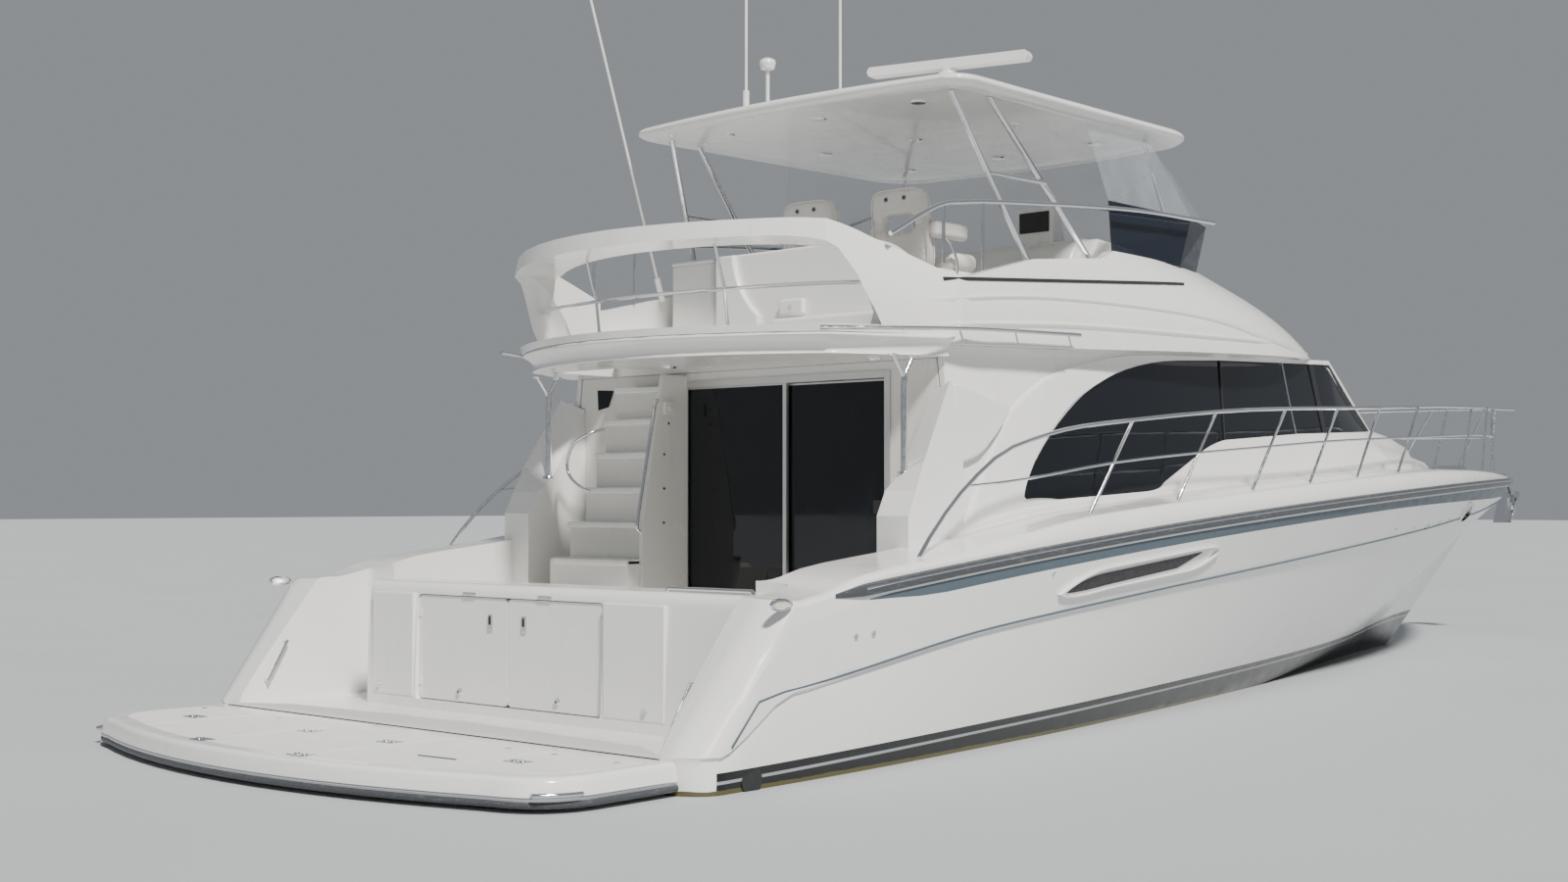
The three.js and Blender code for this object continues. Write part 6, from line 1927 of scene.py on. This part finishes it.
class YACHT_OT_hardtop(Operator):
    """The hardtop with its lamps, and the stainless frames that carry it"""

    bl_idname = "yacht.hardtop"
    bl_label = "Hardtop"

    def execute(self, context):
        z = HARDTOP_Z
        levels = [(z + 0.012, 0.2), (z, 0.12), (z, 0.075), (z + 0.012, 0.035), (z + 0.028, 0.006),
                  (z + 0.045, 0.0), (z + 0.062, 0.006), (z + 0.078, 0.03), (z + 0.09, 0.1),
                  (z + 0.105, 0.22), (z + 0.12, 0.38), (z + 0.13, 0.5)]
        top = skin(bmesh.new(), plan_rows(hardtop_outline, levels))
        piece("hardtop_skin", top, "gelcoat", nodes=["hardtop"], angle=45)
        self.dome()
        self.lamps()
        for name, _ in SIDES:
            dressed("frame_tubes_" + name, "steel", "hardtop_frame_" + name)
        return {"FINISHED"}

    def dome(self):
        bm = bmesh.new()
        x, y = 3.06, 0.16
        for low, high, radius, tip, sides in (
                (HARDTOP_Z + 0.09, 4.76, 0.014, None, 16), (4.75, 4.79, 0.05, 0.062, 28),
                (4.79, 4.815, 0.062, 0.055, 28), (4.815, 4.83, 0.055, 0.03, 28)):
            rod(bm, (x, y, low), (x, y, high), radius, tip, sides)
        piece("position_antenna", bm, "gelcoat")

    def lamps(self):
        bm = bmesh.new()
        for x in (3.45, 4.6, 5.7):
            for y in (-0.95, 0.0, 0.95):
                rod(bm, (x, y, HARDTOP_Z + 0.014), (x, y, HARDTOP_Z + 0.002), 0.06, 0.055, 24)
        piece("hardtop_lamps", bm, "steel")


class YACHT_OT_screens(Operator):
    """The smoked wind deflector and the clear panels above it"""

    bl_idname = "yacht.screens"
    bl_label = "Screens"

    def execute(self, context):
        dressed("deflector", "smoke", "wind_deflector")
        dressed("clear_sheet", "clear", "clear_panels")
        return {"FINISHED"}


# x, half-breadth and z of the helm rail's bends, then x and foot z of its posts
HELM_RAIL = (
    (2.2, 1.72, 3.274), (2.68, 1.72, 3.503), (2.99, 1.72, 3.563), (3.33, 1.72, 3.601), (3.83, 1.72, 3.644),
    (4.36, 1.72, 3.688), (5.23, 1.72, 3.74), (6.28, 1.68, 3.768),
)
HELM_POSTS = ((2.75, 3.13), (3.18, 3.12))


class YACHT_OT_rails(Operator):
    """The bow rails and the flybridge's rails in polished tube"""

    bl_idname = "yacht.rails"
    bl_label = "Rails"

    def execute(self, context):
        for name, _ in SIDES:
            dressed("bow_rail_tube_" + name, "steel", "bow_rail_" + name)
            dressed("fly_side_rail_" + name, "steel", "flybridge_side_rail_" + name)
        dressed("fly_aft_rail", "steel", "flybridge_aft_rail")
        for name, side in SIDES:
            self.helm_rail(name, side)
        return {"FINISHED"}

    def helm_rail(self, name, side):
        """The waist-high rail beside the seats on two posts."""
        bm = bmesh.new()
        pipe(bm, [(x, side * y, z) for x, y, z in HELM_RAIL], 0.016, 12)
        for x, z in HELM_POSTS:
            head = along(HELM_RAIL, x)
            rod(bm, (x, side * head[0], z), (x, side * head[0], head[1]), 0.012, None, 16)
        piece("helm_rail_" + name, bm, "steel")


class YACHT_OT_masthead(Operator):
    """Radar and antennas"""

    bl_idname = "yacht.masthead"
    bl_label = "Radar and antennas"

    def execute(self, context):
        dressed("radar_foot", "gelcoat", "radar_pedestal")
        dressed("radar_bar", "gelcoat", "radar_scanner", "radar", width=0.012, segments=3)
        for name in ("port", "aft", "centre"):
            dressed("whip_" + name, "gelcoat", "antenna_" + name)
        return {"FINISHED"}


class YACHT_OT_bow_gear(Operator):
    """Anchor, roller and windlass"""

    bl_idname = "yacht.bow_gear"
    bl_label = "Bow gear"

    def execute(self, context):
        dressed("roller_fitting", "steel", "anchor_roller", width=0.003)
        dressed("anchor_piece", "steel", "anchor", width=0.003)
        dressed("windlass_piece", "steel", "windlass", width=0.01, segments=3)
        return {"FINISHED"}


class YACHT_OT_running_gear(Operator):
    """Shafts, propellers, rudders and trim tabs below the hull"""

    bl_idname = "yacht.running_gear"
    bl_label = "Running gear"

    def execute(self, context):
        for name, _ in SIDES:
            dressed("shaft_line_" + name, "steel", "shaft_" + name)
            dressed("screw_" + name, "bronze", "propeller_" + name, "propeller_" + name, width=0.002)
            dressed("rudder_blade_" + name, "bronze", "rudder_" + name, "rudder_" + name, width=0.006)
            dressed("tab_" + name, "steel", "trim_tab_" + name, width=0.003)
        return {"FINISHED"}


class YACHT_OT_stage(Operator):
    """Camera, pale floor at the waterline and soft studio lights"""

    bl_idname = "yacht.stage"
    bl_label = "Stage"

    def execute(self, context):
        self.camera(context)
        bm = bmesh.new()
        bmesh.ops.create_grid(bm, x_segments=1, y_segments=1, size=150)
        floor = mesh_object("floor", bm, paint("floor"))
        self.lights(context)
        return {"FINISHED"}

    def camera(self, context):
        data = bpy.data.cameras.new("camera")
        data.lens = CAMERA_LENS
        data.sensor_width = 36
        data.clip_end = 500
        camera = bpy.data.objects.new("camera", data)
        ahead = Vector((math.cos(CAMERA_YAW) * math.cos(CAMERA_PITCH),
                        math.sin(CAMERA_YAW) * math.cos(CAMERA_PITCH), math.sin(CAMERA_PITCH)))
        camera.location = CAMERA_PLACE
        camera.rotation_euler = ahead.to_track_quat("-Z", "Y").to_euler()
        context.scene.collection.objects.link(camera)
        context.scene.camera = camera

    def lights(self, context):
        light = context.scene.yacht_stage
        world = bpy.data.worlds.new("studio")
        world.use_nodes = True
        background = world.node_tree.nodes["Background"]
        background.inputs[0].default_value = (0.76, 0.80, 0.85, 1)
        background.inputs[1].default_value = light.sky
        context.scene.world = world
        sun = bpy.data.lights.new("key", "SUN")
        sun.energy = light.key
        sun.angle = math.radians(6)
        sun.color = (1.0, 0.97, 0.92)
        key = bpy.data.objects.new("key", sun)
        key.rotation_euler = Vector(light.key_direction).to_track_quat("-Z", "Y").to_euler()
        context.scene.collection.objects.link(key)


class YachtFinishes(PropertyGroup):
    gelcoat: FloatVectorProperty(
        name="Gelcoat", description="White of the hull and upperworks", subtype="COLOR",
        default=(0.84, 0.84, 0.82), min=0, max=1)
    # Darker than the gelcoat: the sheltered colour paints the shade under the overhang.
    sheltered: FloatVectorProperty(
        name="Sheltered gelcoat", description="White of the cockpit and soffit", subtype="COLOR",
        default=(0.80, 0.78, 0.74), min=0, max=1)
    # The stripe colour paints the band under the rail, a stripe that is also painted shadow, and the
    # knuckle's painted shadow line.
    stripe: FloatVectorProperty(
        name="Stripe", description="Dark band under the rubbing rail", subtype="COLOR",
        default=(0.085, 0.115, 0.14), min=0, max=1)
    stainless: FloatVectorProperty(
        name="Stainless", description="Polished tube and fittings", subtype="COLOR",
        default=(0.74, 0.75, 0.77), min=0, max=1)
    vinyl: FloatVectorProperty(
        name="Vinyl", description="Seats and settee", subtype="COLOR",
        default=(0.78, 0.76, 0.72), min=0, max=1)
    boot_top: FloatProperty(
        name="Boot stripe top", description="Height of the boot stripe at the stern", unit="LENGTH",
        default=0.12, min=0, max=0.5)
    boot_rise: FloatProperty(
        name="Boot stripe rise", description="Rise of the boot stripe for each metre forward",
        default=0.018, min=0, max=0.05)


class YachtStage(PropertyGroup):
    key: FloatProperty(name="Key light", description="Strength of the key light", default=5.6, min=0)
    sky: FloatProperty(
        name="Fill light", description="Strength of the surrounding light", default=0.36, min=0)
    key_direction: FloatVectorProperty(
        name="Key direction", description="Where the key light shines to", subtype="DIRECTION",
        default=(0.36, 0.78, -0.95))


STEPS = (
    YACHT_OT_hull, YACHT_OT_rub_rails, YACHT_OT_hull_fittings, YACHT_OT_swim_platform, YACHT_OT_transom,
    YACHT_OT_cockpit, YACHT_OT_saloon_doors, YACHT_OT_deckhouse, YACHT_OT_windows, YACHT_OT_saloon,
    YACHT_OT_flybridge, YACHT_OT_flybridge_furniture, YACHT_OT_seats, YACHT_OT_hardtop, YACHT_OT_screens,
    YACHT_OT_rails, YACHT_OT_masthead, YACHT_OT_bow_gear, YACHT_OT_running_gear, YACHT_OT_stage,
)


class YACHT_PT_panel(Panel):
    """The yacht's pieces and finishes in the 3D view's sidebar"""

    bl_idname = "YACHT_PT_panel"
    bl_label = "Yacht"
    bl_space_type = "VIEW_3D"
    bl_region_type = "UI"
    bl_category = "Yacht"

    def draw(self, context):
        for step in STEPS:
            self.layout.operator(step.bl_idname)
        for name in YachtFinishes.__annotations__:
            self.layout.prop(context.scene.yacht_finishes, name)
        for name in YachtStage.__annotations__:
            self.layout.prop(context.scene.yacht_stage, name)


CLASSES = (YachtFinishes, YachtStage, *STEPS, YACHT_PT_panel)


def register():
    for cls in CLASSES:
        bpy.utils.register_class(cls)
    bpy.types.Scene.yacht_finishes = PointerProperty(type=YachtFinishes)
    bpy.types.Scene.yacht_stage = PointerProperty(type=YachtStage)


def unregister():
    del bpy.types.Scene.yacht_stage
    del bpy.types.Scene.yacht_finishes
    for cls in reversed(CLASSES):
        bpy.utils.unregister_class(cls)


def main():
    register()
    for step in STEPS:
        group, name = step.bl_idname.split(".")
        getattr(getattr(bpy.ops, group), name)()


if __name__ == "__main__":
    main()
